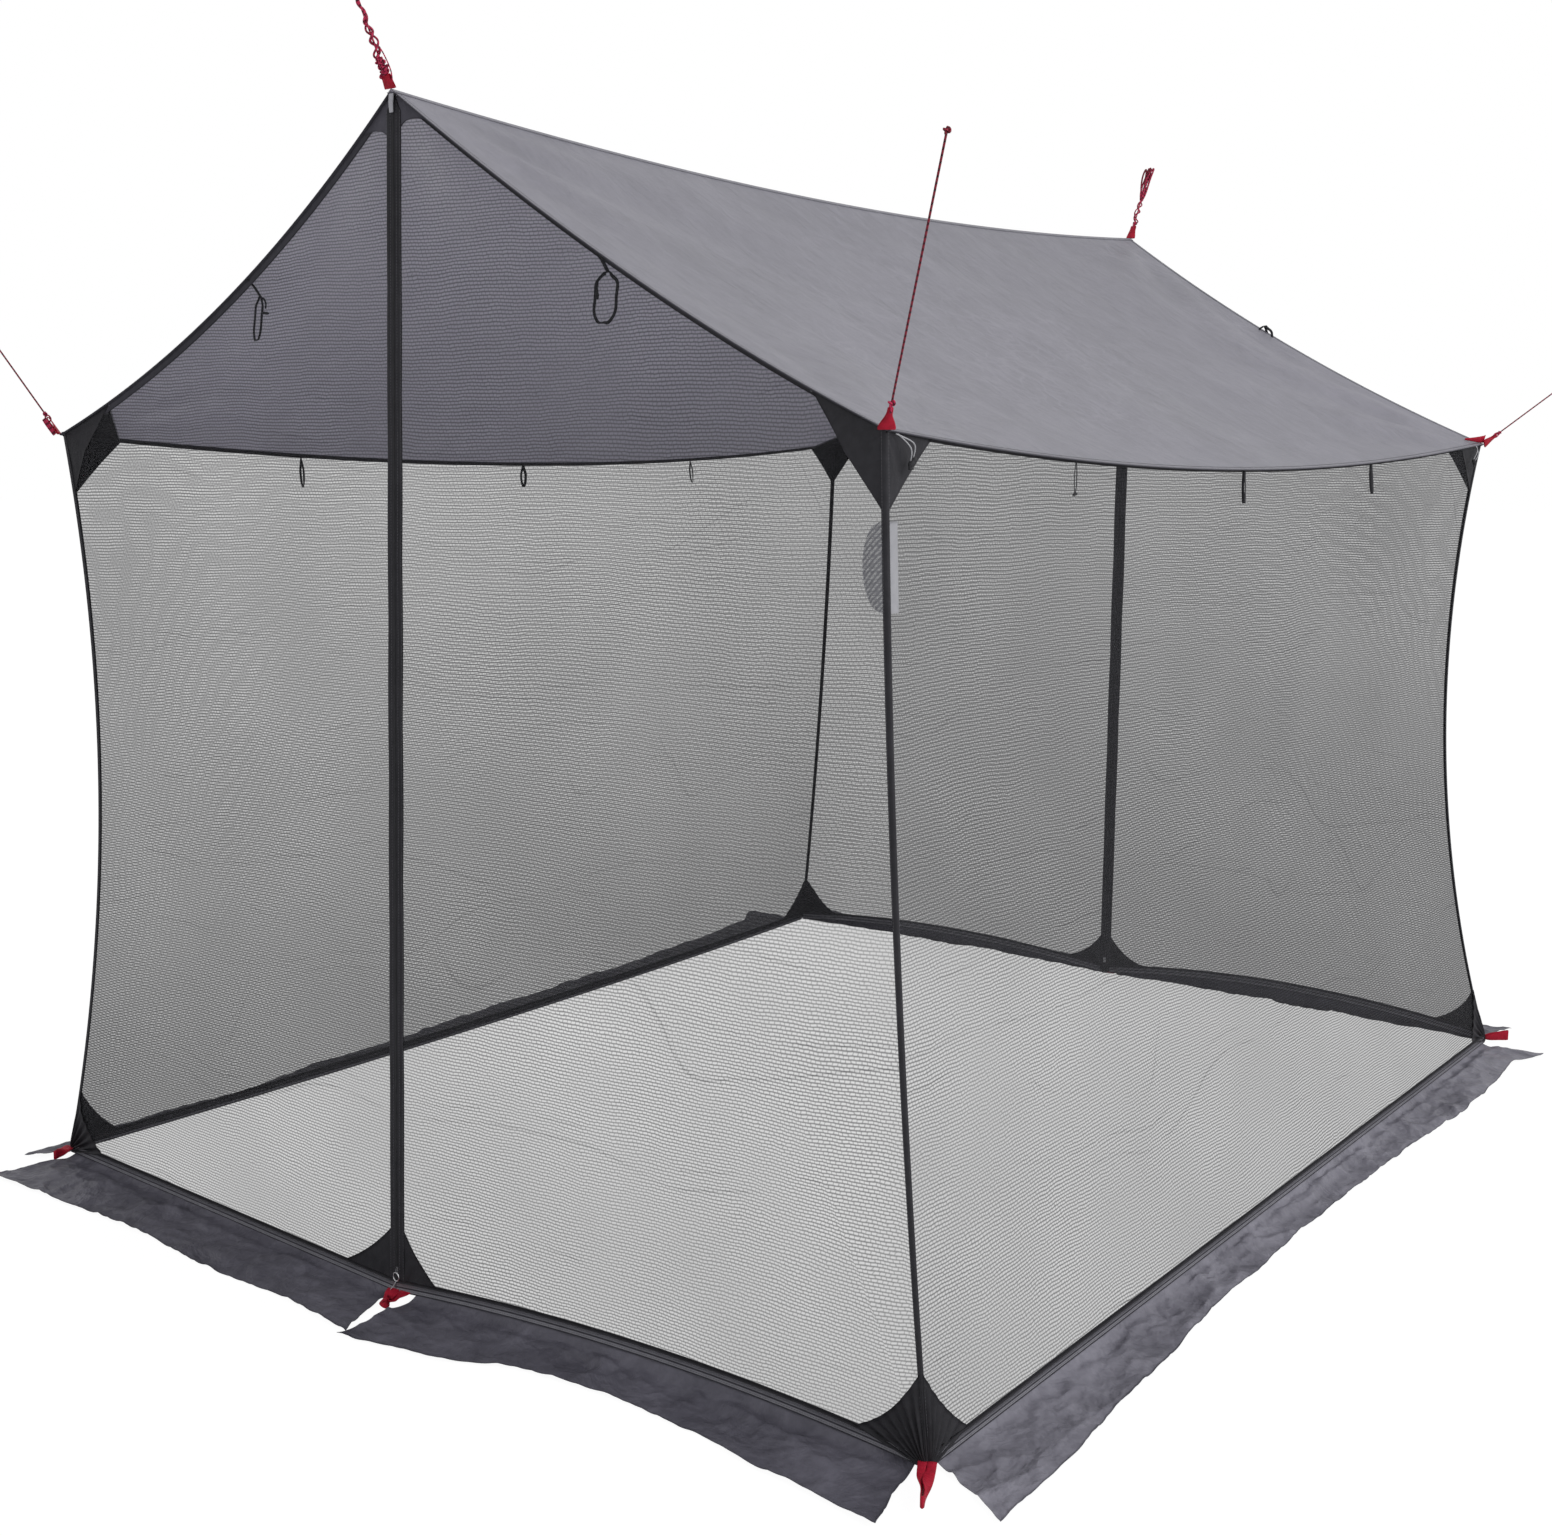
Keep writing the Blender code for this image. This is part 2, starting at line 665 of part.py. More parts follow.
def build_slider(name, door, carrier):
    along = (door.place(0.0, door.top) - door.place(0.0, HEM_HEIGHT)).normalized()
    across = along.cross(door.outward).normalized()
    toward_tape = across if across.x * door.side > 0.0 else -across
    centre = door.place(0.0, HEM_HEIGHT + SLIDER_HEIGHT)
    front = CHAIN_PROUD + CLEAR
    back = -CLOTH - CLEAR
    half = CHAIN_WIDTH / 2.0 + CLEAR + SLIDER_WALL
    inner = half - SLIDER_WALL
    profile = [(-half, back - SLIDER_PLATE), (half, back - SLIDER_PLATE), (half, back), (-inner, back),
               (-inner, front), (inner, front), (inner, CLEAR), (half, CLEAR),
               (half, front + SLIDER_PLATE), (-half, front + SLIDER_PLATE)]
    pull = pivot(name + "_travel", centre)
    pull.parent = carrier
    pull.location = centre - carrier.location
    form = bmesh.new()
    loops = []
    for shift in (-0.5, 0.5):
        base = centre + along * SLIDER_LENGTH * shift
        loops.append([form.verts.new(base + toward_tape * p + door.outward * q) for p, q in profile])
    form.faces.new(loops[0])
    form.faces.new(list(reversed(loops[1])))
    for i in range(len(profile)):
        j = (i + 1) % len(profile)
        form.faces.new((loops[0][j], loops[0][i], loops[1][i], loops[1][j]))
    bmesh.ops.recalc_face_normals(form, faces=form.faces)
    mesh = bpy.data.meshes.new(name)
    form.to_mesh(mesh)
    form.free()
    for vertex in mesh.vertices:
        vertex.co -= centre
    obj = add_object(name, mesh, "metal")
    obj.parent = pull
    plate_top = front + SLIDER_PLATE
    bail = box_mesh(name + " bail", door.outward * (plate_top + 0.0009) - along * 0.001,
                    (across, along, door.outward), (0.003, 0.009, 0.0022))
    ring_centre = door.outward * (plate_top + 0.0011) - along * (0.0045 + RING_RADIUS)
    ring = ring_mesh(name + " ring", ring_centre, across, along, door.outward)
    for part in (bail, ring):
        tool = bpy.data.objects.new(part.name, part)
        bpy.context.scene.collection.objects.link(tool)
        tool.hide_render = True
        tool.display_type = "WIRE"
        tool.parent = pull
        union = obj.modifiers.new("Unite", "BOOLEAN")
        union.operation = "UNION"
        union.object = tool


def ring_mesh(name, centre, right, up, out):
    form = bmesh.new()
    rings = []
    for i in range(16):
        angle = 2.0 * math.pi * i / 16
        radial = right * math.cos(angle) + up * math.sin(angle)
        ring = []
        for j in range(8):
            turn = 2.0 * math.pi * j / 8
            ring.append(form.verts.new(centre + radial * (RING_RADIUS + RING_WIRE * math.cos(turn))
                                       + out * RING_WIRE * math.sin(turn)))
        rings.append(ring)
    for i in range(16):
        first, second = rings[i], rings[(i + 1) % 16]
        for j in range(8):
            k = (j + 1) % 8
            form.faces.new((first[j], second[j], second[k], first[k]))
    bmesh.ops.recalc_face_normals(form, faces=form.faces)
    mesh = bpy.data.meshes.new(name)
    form.to_mesh(mesh)
    form.free()
    return mesh


# Webbing loops

def tapered_loop(name, root, direction, across, length, width, finish, carrier=None):
    """A flat loop of webbing that narrows from its sewn end to its tip."""
    direction, across = direction.normalized(), across.normalized()
    tip = LOOP_TIP / 2.0
    wide = width / 2.0
    slim = max(tip - WEBBING_BAND, 0.0025)
    outer = [(-wide, 0.0), (wide, 0.0), (tip, length), (-tip, length)]
    inner = [(-(wide - WEBBING_BAND), WEBBING_BAND), (wide - WEBBING_BAND, WEBBING_BAND),
             (slim, length - WEBBING_BAND), (-slim, length - WEBBING_BAND)]
    thick = direction.cross(across).normalized() * WEBBING
    placed = [[root + across * a + direction * s for a, s in edge] for edge in (outer, inner)]
    ring_plate(name, placed[0], placed[1], thick, finish, carrier)


def build_stake_loops(doors):
    for end_label, end in ENDS.items():
        for side_label, side in SIDES.items():
            out = Vector((side, end, 0.0)).normalized()
            across = Vector((out.y, -out.x, 0.0))
            root = bottom_corner(side, end) + out * SEAT + UP * LOOP_RISE
            dip = Vector((out.x, out.y, -(root.z - WEBBING) / STAKE_LOOP_LENGTH))
            tapered_loop("stake_loop_" + end_label + "_" + side_label, root, dip, across,
                         STAKE_LOOP_LENGTH, STAKE_LOOP_WIDTH, "red")
        door, carrier = doors[end_label]
        height = HEM_HEIGHT + LOOP_RISE
        centre = STAKE_LOOP_WIDTH / 2.0 - CHAIN_WIDTH / 2.0
        across = (door.place(STAKE_LOOP_WIDTH, height) - door.place(0.0, height)).normalized()
        out = UP.cross(across)
        out = out if out.y * end > 0.0 else -out
        root = door.place(centre, height) + out * 2.0 * SEAT
        dip = Vector((out.x, out.y, -(root.z - WEBBING) / ZIP_LOOP_LENGTH))
        tapered_loop("stake_loop_" + end_label + "_zip", root, dip, across,
                     ZIP_LOOP_LENGTH, STAKE_LOOP_WIDTH, "red", carrier)


# Guy tabs at the six held points, and the lines that leave them

def held_points():
    points = {}
    for end_label, end in ENDS.items():
        u = 0.0 if end < 0.0 else 1.0
        for side_label, side in SIDES.items():
            heading = Vector((side, end, 0.0)).normalized()
            points[end_label + "_" + side_label] = (roof_point(side, u, 1.0), heading)
        points[end_label + "_apex"] = (roof_point(1.0, u, 0.0), Vector((0.0, end, 0.0)))
    return points


def build_guys():
    for label, (corner, heading) in held_points().items():
        steepness, length = GUY_LINES[label]
        angle = math.radians(steepness)
        direction = heading * math.cos(angle) + UP * math.sin(angle)
        across = heading.cross(UP)
        root = corner + direction * SEAT
        tapered_loop("guy_tab_" + label, root, direction, across, TAB_LENGTH, TAB_WIDTH, "red")
        start = root + direction * (TAB_LENGTH + CLEAR)
        build_line("guy_line_" + label, start, direction, length - TAB_LENGTH)


def build_line(name, start, direction, length):
    curve = bpy.data.curves.new(name, "CURVE")
    curve.dimensions = "3D"
    curve.bevel_depth = LINE_RADIUS
    curve.bevel_resolution = 2
    curve.use_fill_caps = True
    spline = curve.splines.new("POLY")
    steps = 6
    spline.points.add(steps)
    for index, t in enumerate(spread(steps)):
        spline.points[index].co = (*(start + direction * length * t), 1.0)
    obj = bpy.data.objects.new(name, curve)
    bpy.context.scene.collection.objects.link(obj)
    label, colour, roughness, metallic, alpha = FINISHES["line"]
    paint(obj, label + " " + name, colour, roughness, metallic, alpha)


# Loops that hang from the eaves and the gable edges

def hanging_loop(name, top, down, across, normal, outline, finish, toggle=False):
    """A flat loop below a pivot on its outer top edge, free to swing away from the wall."""
    carrier = pivot(name + "_swing", top)
    outer, inner = outline
    centre = top - normal * WEBBING / 2.0
    placed = [[centre + across * a + down * s for a, s in edge] for edge in (outer, inner)]
    obj = ring_plate(name, placed[0], placed[1], normal * WEBBING, finish, carrier)
    if toggle:
        strap_end = TIE_LENGTH * 0.30
        strap = box_mesh(name + " strap", centre - across * TIE_WIDTH * 0.40 + down * (strap_end / 2.0 + 0.008),
                         (across, down, normal), (0.005, strap_end - 0.008, WEBBING * 0.8))
        bridge = box_mesh(name + " bridge", centre - across * TIE_WIDTH * 0.21 + down * 0.012,
                          (across, down, normal), (TIE_WIDTH * 0.38 + 0.005, 0.008, WEBBING * 0.8))
        bar = toggle_mesh(name + " toggle", centre - across * TIE_WIDTH * 0.40 + down * (strap_end + 0.012), down)
        for part in (bridge, strap, bar):
            join_form(obj, part, carrier)


def toggle_mesh(name, centre, along):
    form = bmesh.new()
    bmesh.ops.create_cone(form, cap_ends=True, segments=10, radius1=TOGGLE_RADIUS,
                          radius2=TOGGLE_RADIUS, depth=TOGGLE_LENGTH)
    turn = UP.rotation_difference(along).to_matrix()
    for vertex in form.verts:
        vertex.co = turn @ vertex.co + centre
    bmesh.ops.recalc_face_normals(form, faces=form.faces)
    mesh = bpy.data.meshes.new(name)
    form.to_mesh(mesh)
    form.free()
    return mesh


def oval_outline(length, width, band, count=14):
    outer, inner = [], []
    for i in range(count):
        angle = 2.0 * math.pi * i / count
        outer.append((math.sin(angle) * width / 2.0, (1.0 - math.cos(angle)) * length / 2.0))
        inner.append((math.sin(angle) * (width / 2.0 - band),
                      length / 2.0 - math.cos(angle) * (length / 2.0 - band)))
    return outer, inner


def octagon_outline(length, width, band):
    top, chamfer = TIE_TOP, TIE_CHAMFER
    outer = [(top, 0.0), (width / 2.0, chamfer), (width / 2.0, length - chamfer), (width * 0.2, length),
             (-width * 0.2, length), (-width / 2.0, length - chamfer), (-width / 2.0, chamfer), (-top, 0.0)]
    centre = length / 2.0
    inner = []
    for x, s in outer:
        inner.append((x * (1.0 - 2.0 * band / width), centre + (s - centre) * (1.0 - 2.0 * band / length)))
    return outer, inner


def build_hanging_loops():
    for side_label, side in SIDES.items():
        for index, u in enumerate(EAVE_LOOP_PLACES):
            edge = roof_point(side, u, 1.0)
            top = Vector((edge.x - side * CLEAR, edge.y, roof_underside(side, u, 1.0).z - SEAT))
            hanging_loop("eave_loop_" + side_label + "_" + str(index + 1), top, -UP, Vector((0.0, 1.0, 0.0)),
                         Vector((side, 0.0, 0.0)), oval_outline(EAVE_LOOP_LENGTH, EAVE_LOOP_WIDTH, EAVE_LOOP_BAND),
                         "webbing")
    for end_label, end in ENDS.items():
        u = 0.0 if end < 0.0 else 1.0
        for side_label, side in SIDES.items():
            edge = roof_point(side, u, TIE_PLACE)
            low = roof_underside(side, u, TIE_PLACE + TIE_TOP / roof_half_width(u))
            top = Vector((edge.x, edge.y - end * CLEAR, low.z - 3.0 * SEAT))
            wall = gable_top(side, end, TIE_PLACE, TOP_DROP)
            ruling = hinge_point(side, end, hinge_share() * TIE_PLACE) - wall
            edge_run = gable_top(side, end, TIE_PLACE + 0.05, TOP_DROP) - wall
            face = ruling.cross(edge_run).normalized()
            down = (face * face.dot(UP) - UP + Vector((0.0, end * TIE_LEAN, 0.0))).normalized()
            face = face if face.y * end > 0.0 else -face
            across = Vector((side, 0.0, 0.0)) - face * face.x * side
            across = (across - down * across.dot(down)).normalized()
            normal = down.cross(across).normalized()
            normal = normal if normal.y * end > 0.0 else -normal
            hanging_loop("gable_tie_" + end_label + "_" + side_label, top, down, across, normal,
                         octagon_outline(TIE_LENGTH, TIE_WIDTH, TIE_BAND), "webbing", toggle=True)


def footprint_shift():
    """The front door stands out further than the back one, so the walls' middle is behind the origin."""
    reach = 0.0
    for end in ENDS.values():
        door = Door(CHAIN_SIDE, end)
        reach += door.place(SKIRT_ZIP_GAP, door.hem_z(SKIRT_ZIP_GAP)).y
    return -reach / 2.0


def main():
    for obj in list(bpy.data.objects):
        bpy.data.objects.remove(obj, do_unlink=True)
    build_roof()
    build_side_walls()
    build_gable_nets()
    build_corners()
    build_side_skirts()
    carriers = {}
    for end_label, end in ENDS.items():
        for side_label, side in SIDES.items():
            door, carrier = build_door(end_label, end, side_label, side)
            if side == CHAIN_SIDE:
                carriers[end_label] = (door, carrier)
                build_slider("zip_slider_" + end_label, door, carrier)
    build_stake_loops(carriers)
    build_guys()
    build_hanging_loops()
    shift = footprint_shift()
    for obj in bpy.data.objects:
        if obj.parent is None:
            obj.location.y += shift


main()
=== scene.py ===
# %% [markdown]
# # A screen tent, sewn and rigged in Blender
#
# The tent is a gabled tarp roof with four walls of mosquito net and a skirt of cloth that lies on
# the ground. It has no poles: six guy lines pull it up, and stakes through webbing loops hold it down.
# The frame holds the bodies that move, and each cloth is sewn onto it here, panel by panel.
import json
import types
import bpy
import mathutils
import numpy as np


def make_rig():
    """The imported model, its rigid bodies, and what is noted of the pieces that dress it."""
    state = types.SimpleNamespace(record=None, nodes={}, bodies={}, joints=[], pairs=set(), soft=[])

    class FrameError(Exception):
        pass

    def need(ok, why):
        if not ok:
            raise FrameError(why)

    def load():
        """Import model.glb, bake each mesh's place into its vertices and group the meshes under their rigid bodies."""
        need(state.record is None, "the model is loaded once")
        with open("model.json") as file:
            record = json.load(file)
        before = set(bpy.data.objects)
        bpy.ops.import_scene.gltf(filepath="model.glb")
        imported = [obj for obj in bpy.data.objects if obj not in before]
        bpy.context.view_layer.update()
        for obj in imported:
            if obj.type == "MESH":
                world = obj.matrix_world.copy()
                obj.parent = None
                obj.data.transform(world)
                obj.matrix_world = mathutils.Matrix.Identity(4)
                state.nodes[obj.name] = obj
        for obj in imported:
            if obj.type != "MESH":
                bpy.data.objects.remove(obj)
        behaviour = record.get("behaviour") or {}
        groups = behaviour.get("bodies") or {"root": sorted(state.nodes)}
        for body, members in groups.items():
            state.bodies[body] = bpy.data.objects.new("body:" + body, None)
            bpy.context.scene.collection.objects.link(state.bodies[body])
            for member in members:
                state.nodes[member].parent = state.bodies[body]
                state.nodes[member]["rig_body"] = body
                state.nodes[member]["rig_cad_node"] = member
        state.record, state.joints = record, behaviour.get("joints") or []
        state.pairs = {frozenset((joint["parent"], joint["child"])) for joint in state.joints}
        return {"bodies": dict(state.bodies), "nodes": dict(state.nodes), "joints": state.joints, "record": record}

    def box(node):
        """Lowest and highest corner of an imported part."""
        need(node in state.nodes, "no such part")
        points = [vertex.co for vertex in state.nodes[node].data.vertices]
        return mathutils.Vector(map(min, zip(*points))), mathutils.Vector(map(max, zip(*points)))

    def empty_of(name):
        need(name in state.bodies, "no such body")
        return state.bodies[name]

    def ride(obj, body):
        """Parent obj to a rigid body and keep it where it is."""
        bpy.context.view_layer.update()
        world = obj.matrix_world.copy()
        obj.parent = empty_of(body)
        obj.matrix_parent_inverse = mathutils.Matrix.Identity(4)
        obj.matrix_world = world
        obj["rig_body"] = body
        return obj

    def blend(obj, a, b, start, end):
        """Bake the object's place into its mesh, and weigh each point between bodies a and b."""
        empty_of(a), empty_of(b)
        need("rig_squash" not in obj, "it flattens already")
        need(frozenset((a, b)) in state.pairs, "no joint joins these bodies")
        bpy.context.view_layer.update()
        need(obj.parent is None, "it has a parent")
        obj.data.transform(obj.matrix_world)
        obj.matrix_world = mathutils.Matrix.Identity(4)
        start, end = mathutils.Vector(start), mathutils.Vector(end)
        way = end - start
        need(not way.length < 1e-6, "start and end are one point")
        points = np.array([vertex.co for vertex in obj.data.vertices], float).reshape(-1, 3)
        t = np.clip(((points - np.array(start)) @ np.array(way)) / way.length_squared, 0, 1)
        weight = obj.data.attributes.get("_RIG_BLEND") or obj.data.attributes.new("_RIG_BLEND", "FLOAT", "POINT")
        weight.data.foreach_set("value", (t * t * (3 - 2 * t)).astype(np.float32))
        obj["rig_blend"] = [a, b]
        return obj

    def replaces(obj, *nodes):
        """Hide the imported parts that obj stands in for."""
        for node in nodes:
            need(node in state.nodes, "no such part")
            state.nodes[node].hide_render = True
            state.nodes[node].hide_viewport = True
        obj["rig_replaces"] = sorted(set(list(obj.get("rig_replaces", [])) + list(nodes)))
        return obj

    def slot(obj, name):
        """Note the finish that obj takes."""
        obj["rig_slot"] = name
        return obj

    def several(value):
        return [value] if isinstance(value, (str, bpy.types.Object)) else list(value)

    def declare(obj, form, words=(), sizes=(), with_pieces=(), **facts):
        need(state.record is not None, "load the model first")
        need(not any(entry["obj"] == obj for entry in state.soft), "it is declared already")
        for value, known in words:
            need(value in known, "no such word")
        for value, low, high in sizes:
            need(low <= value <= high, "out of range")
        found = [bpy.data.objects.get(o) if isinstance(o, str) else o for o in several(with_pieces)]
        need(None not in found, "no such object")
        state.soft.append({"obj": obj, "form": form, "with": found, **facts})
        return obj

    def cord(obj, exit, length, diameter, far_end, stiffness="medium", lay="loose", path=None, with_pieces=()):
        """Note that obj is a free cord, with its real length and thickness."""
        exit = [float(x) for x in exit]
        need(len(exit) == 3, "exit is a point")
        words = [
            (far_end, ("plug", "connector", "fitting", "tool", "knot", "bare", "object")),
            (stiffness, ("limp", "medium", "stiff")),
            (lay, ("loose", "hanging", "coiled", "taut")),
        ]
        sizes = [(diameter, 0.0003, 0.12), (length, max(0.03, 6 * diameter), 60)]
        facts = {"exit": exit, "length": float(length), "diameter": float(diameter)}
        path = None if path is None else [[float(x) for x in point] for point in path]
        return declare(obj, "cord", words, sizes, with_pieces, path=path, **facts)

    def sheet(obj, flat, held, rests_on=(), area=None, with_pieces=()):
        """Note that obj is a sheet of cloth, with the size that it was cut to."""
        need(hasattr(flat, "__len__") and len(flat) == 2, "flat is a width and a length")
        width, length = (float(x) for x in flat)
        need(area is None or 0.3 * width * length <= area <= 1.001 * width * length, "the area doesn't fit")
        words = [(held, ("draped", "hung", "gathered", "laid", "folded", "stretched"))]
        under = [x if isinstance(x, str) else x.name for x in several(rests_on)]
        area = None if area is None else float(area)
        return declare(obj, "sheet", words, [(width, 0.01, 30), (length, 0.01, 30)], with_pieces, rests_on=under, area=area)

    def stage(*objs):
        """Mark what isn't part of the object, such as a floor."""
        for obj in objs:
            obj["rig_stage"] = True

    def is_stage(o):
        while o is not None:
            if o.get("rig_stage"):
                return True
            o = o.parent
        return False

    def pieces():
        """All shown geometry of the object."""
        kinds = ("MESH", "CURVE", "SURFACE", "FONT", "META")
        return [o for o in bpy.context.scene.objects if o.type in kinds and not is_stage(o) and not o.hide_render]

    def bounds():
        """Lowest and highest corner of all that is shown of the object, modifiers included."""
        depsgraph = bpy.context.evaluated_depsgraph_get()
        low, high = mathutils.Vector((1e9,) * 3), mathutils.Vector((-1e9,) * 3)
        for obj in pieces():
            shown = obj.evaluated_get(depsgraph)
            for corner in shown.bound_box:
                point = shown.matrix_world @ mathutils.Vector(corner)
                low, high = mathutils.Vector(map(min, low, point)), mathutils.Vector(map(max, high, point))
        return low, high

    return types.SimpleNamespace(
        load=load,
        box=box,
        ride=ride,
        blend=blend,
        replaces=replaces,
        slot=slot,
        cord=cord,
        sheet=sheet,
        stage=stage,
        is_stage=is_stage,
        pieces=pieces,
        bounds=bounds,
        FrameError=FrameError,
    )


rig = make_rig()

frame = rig.load()

import json
import math

import bmesh
import bpy
from mathutils import Vector, noise

cad_box = [list(corner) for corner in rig.bounds()]
print("frame box", [[round(x, 3) for x in corner] for corner in cad_box])
print("bodies", sorted(frame["bodies"]))

# %% [markdown]
# ## The tent's cut
#
# A tent like this is drawn from a few measures: the footprint, the height of the eaves and of the
# ridge, and how far each edge hangs between the points that hold it. A hanging edge is close to a
# parabola, so one function, arch, draws all of them. The panels below are all laid on these curves,
# which keeps neighbouring cloths meeting on the same seam.

# %% Measures and the curves that hang
BASE_WIDTH, BASE_LENGTH = 2.40, 3.00
EAVE_WIDTH, EAVE_HEIGHT, RIDGE_HEIGHT = 2.17, 1.70, 2.32
RIDGE_SAG, EAVE_SAG, EAVE_DRAW = 0.056, 0.066, 0.030
GABLE_DRAW, RAFTER_SAG = (0.030, 0.040), (0.046, 0.033)  # at the front and at the back
HEM_HEIGHT = 0.014
SIDE_HEM = {-1.0: (0.000, -0.042), 1.0: (0.018, 0.017)}  # rise and bow of each side's hem
SEAM_BOW, BACK_RIGHT_BOW = 0.050, 0.078  # how far the corner seams draw in
OVERHANG, TOP_DROP = 0.008, 0.00248
SHIFT = Vector((0.0, 0.0283278, 0.0))
UP = Vector((0.0, 0.0, 1.0))
SIDES = {"left": -1.0, "right": 1.0}
ENDS = {"front": -1.0, "back": 1.0}


def arch(t):
    return 4.0 * t * (1.0 - t)


def lerp(a, b, t):
    return a + (b - a) * t


def ease(t):
    t = min(max(t, 0.0), 1.0)
    return t * t * (3.0 - 2.0 * t)


def spread(count, first=0.0, last=1.0):
    return [first + (last - first) * i / count for i in range(count + 1)]


def round_angles(count):
    return [2.0 * math.pi * i / count for i in range(count)]


def signs(key):
    """The end and the side that a name such as front_left stands for."""
    end_label, side_label = key.split("_")
    return ENDS[end_label], SIDES[side_label]


def key_of(side, end):
    return ("front_" if end < 0.0 else "back_") + ("left" if side < 0.0 else "right")


def corners():
    """Name, end and side of each corner of the tent."""
    for end_label in ENDS:
        for side_label in SIDES:
            key = end_label + "_" + side_label
            yield key, *signs(key)


def node_name(key, part):
    """Name of a part that each corner has, such as front_door_left."""
    end_label, side_label = key.split("_")
    return end_label + "_" + part + "_" + side_label


def half_width(u):
    return EAVE_WIDTH / 2.0 + OVERHANG - EAVE_DRAW * arch(u)


def roof_point(side, u, v):
    """Roof's outer face: u from front to back, v from ridge to eave."""
    y = (u - 0.5) * (BASE_LENGTH + 2.0 * OVERHANG - 2.0 * lerp(*GABLE_DRAW, u) * arch(v))
    high = lerp(RIDGE_HEIGHT - RIDGE_SAG * arch(u), EAVE_HEIGHT - EAVE_SAG * arch(u), v)
    return Vector((side * half_width(u) * v, y, high - lerp(*RAFTER_SAG, u) * arch(v)))


def roof_station(y, v):
    u = 0.5
    for _ in range(4):
        u = 0.5 + y / (BASE_LENGTH + 2.0 * OVERHANG - 2.0 * lerp(*GABLE_DRAW, u) * arch(v))
    return u


def side_top(side, y):
    u = roof_station(y, 1.0)
    return roof_point(side, u, (half_width(u) - OVERHANG) / half_width(u)) - UP * TOP_DROP


def gable_top(side, end, v):
    u = roof_station(end * (BASE_LENGTH / 2.0 - GABLE_DRAW[0 if end < 0.0 else 1] * arch(v)), v)
    return roof_point(side, u, v) - UP * TOP_DROP


def bottom_corner(side, end):
    return Vector((side * BASE_WIDTH / 2.0, end * BASE_LENGTH / 2.0, HEM_HEIGHT))


def top_corner(side, end):
    return side_top(side, end * BASE_LENGTH / 2.0)


def seam_point(side, end, v):
    """Corner seam from the ground, v = 0, to the eave."""
    straight = lerp(bottom_corner(side, end), top_corner(side, end), v)
    bow = BACK_RIGHT_BOW if side > 0.0 and end > 0.0 else SEAM_BOW
    return straight - Vector((side, end, 0.0)) * bow * arch(v)


def side_hem(side, u):
    rise, bow = SIDE_HEM[side]
    x = side * (BASE_WIDTH / 2.0 + bow * arch(u))
    return Vector((x, (u - 0.5) * BASE_LENGTH, HEM_HEIGHT + rise * arch(u)))


def side_wall(side, u, v):
    """A side wall, stretched between two seams, the hem and the eave."""
    edges = lerp(side_hem(side, u), side_top(side, (u - 0.5) * BASE_LENGTH), v)
    seams = lerp(seam_point(side, -1.0, v), seam_point(side, 1.0, v), u)
    front = lerp(side_hem(side, 0.0), top_corner(side, -1.0), v)
    back = lerp(side_hem(side, 1.0), top_corner(side, 1.0), v)
    return edges + seams - lerp(front, back, u)


print("ridge to eave", round((roof_point(1, 0, 1) - roof_point(1, 0, 0)).length, 3), "m")

# %% [markdown]
# ## The gable walls and their doors
#
# Each gable is one wall with a zip down its middle. When the zip is open, a panel folds back about
# the straight line from the apex to its stake, because that line stays taut. The wall is drawn in
# rows that start at the outer edge, cross that line and end at the zip, so the net can be one cloth.

# %% Gable walls
DOOR_PULL = (0.063, 0.004)
DOOR_HALF = BASE_WIDTH / 2.0
FOOT = (top_corner(1.0, -1.0) - gable_top(1.0, -1.0, 0.0)).dot(
    bottom_corner(1.0, -1.0) - gable_top(1.0, -1.0, 0.0)) / (
    bottom_corner(1.0, -1.0) - gable_top(1.0, -1.0, 0.0)).length_squared


def hinge_point(side, end, t):
    return lerp(gable_top(1.0, end, 0.0), bottom_corner(side, end), t)


def gable_edge(side, end, t):
    """Outer edge of a gable wall: down the rafter, then down the corner seam."""
    if t <= FOOT:
        return gable_top(side, end, t / FOOT)
    return seam_point(side, end, (1.0 - t) / (1.0 - FOOT))


def door_drop(end, x, z):
    """How far the door plane stands out, most at the foot of the zip."""
    top = gable_top(1.0, end, 0.0).z
    slope = (top - HEM_HEIGHT) / DOOR_HALF
    away = (top - slope * x - z) / (top - HEM_HEIGHT)
    return end * (BASE_LENGTH / 2.0 + DOOR_PULL[0 if end < 0.0 else 1] * away)


def door_point(side, end, x, z):
    return Vector((side * x, door_drop(end, x, z), z))


def door_normal(side, end):
    across = door_point(side, end, 0.4, 0.5) - door_point(side, end, 0.0, 0.5)
    rise = door_point(side, end, 0.0, 1.0) - door_point(side, end, 0.0, 0.5)
    normal = across.cross(rise).normalized()
    return normal if normal.y * end > 0.0 else -normal


print("door foot stands out", round(-door_drop(-1.0, 0.0, HEM_HEIGHT), 3), "m from the middle")

# %% [markdown]
# ## Camera
#
# The view looks across the right front corner, a little down, from just under the height of the eaves.
# It was solved from the places of eleven corners in the picture, so the sensor is shifted a little.

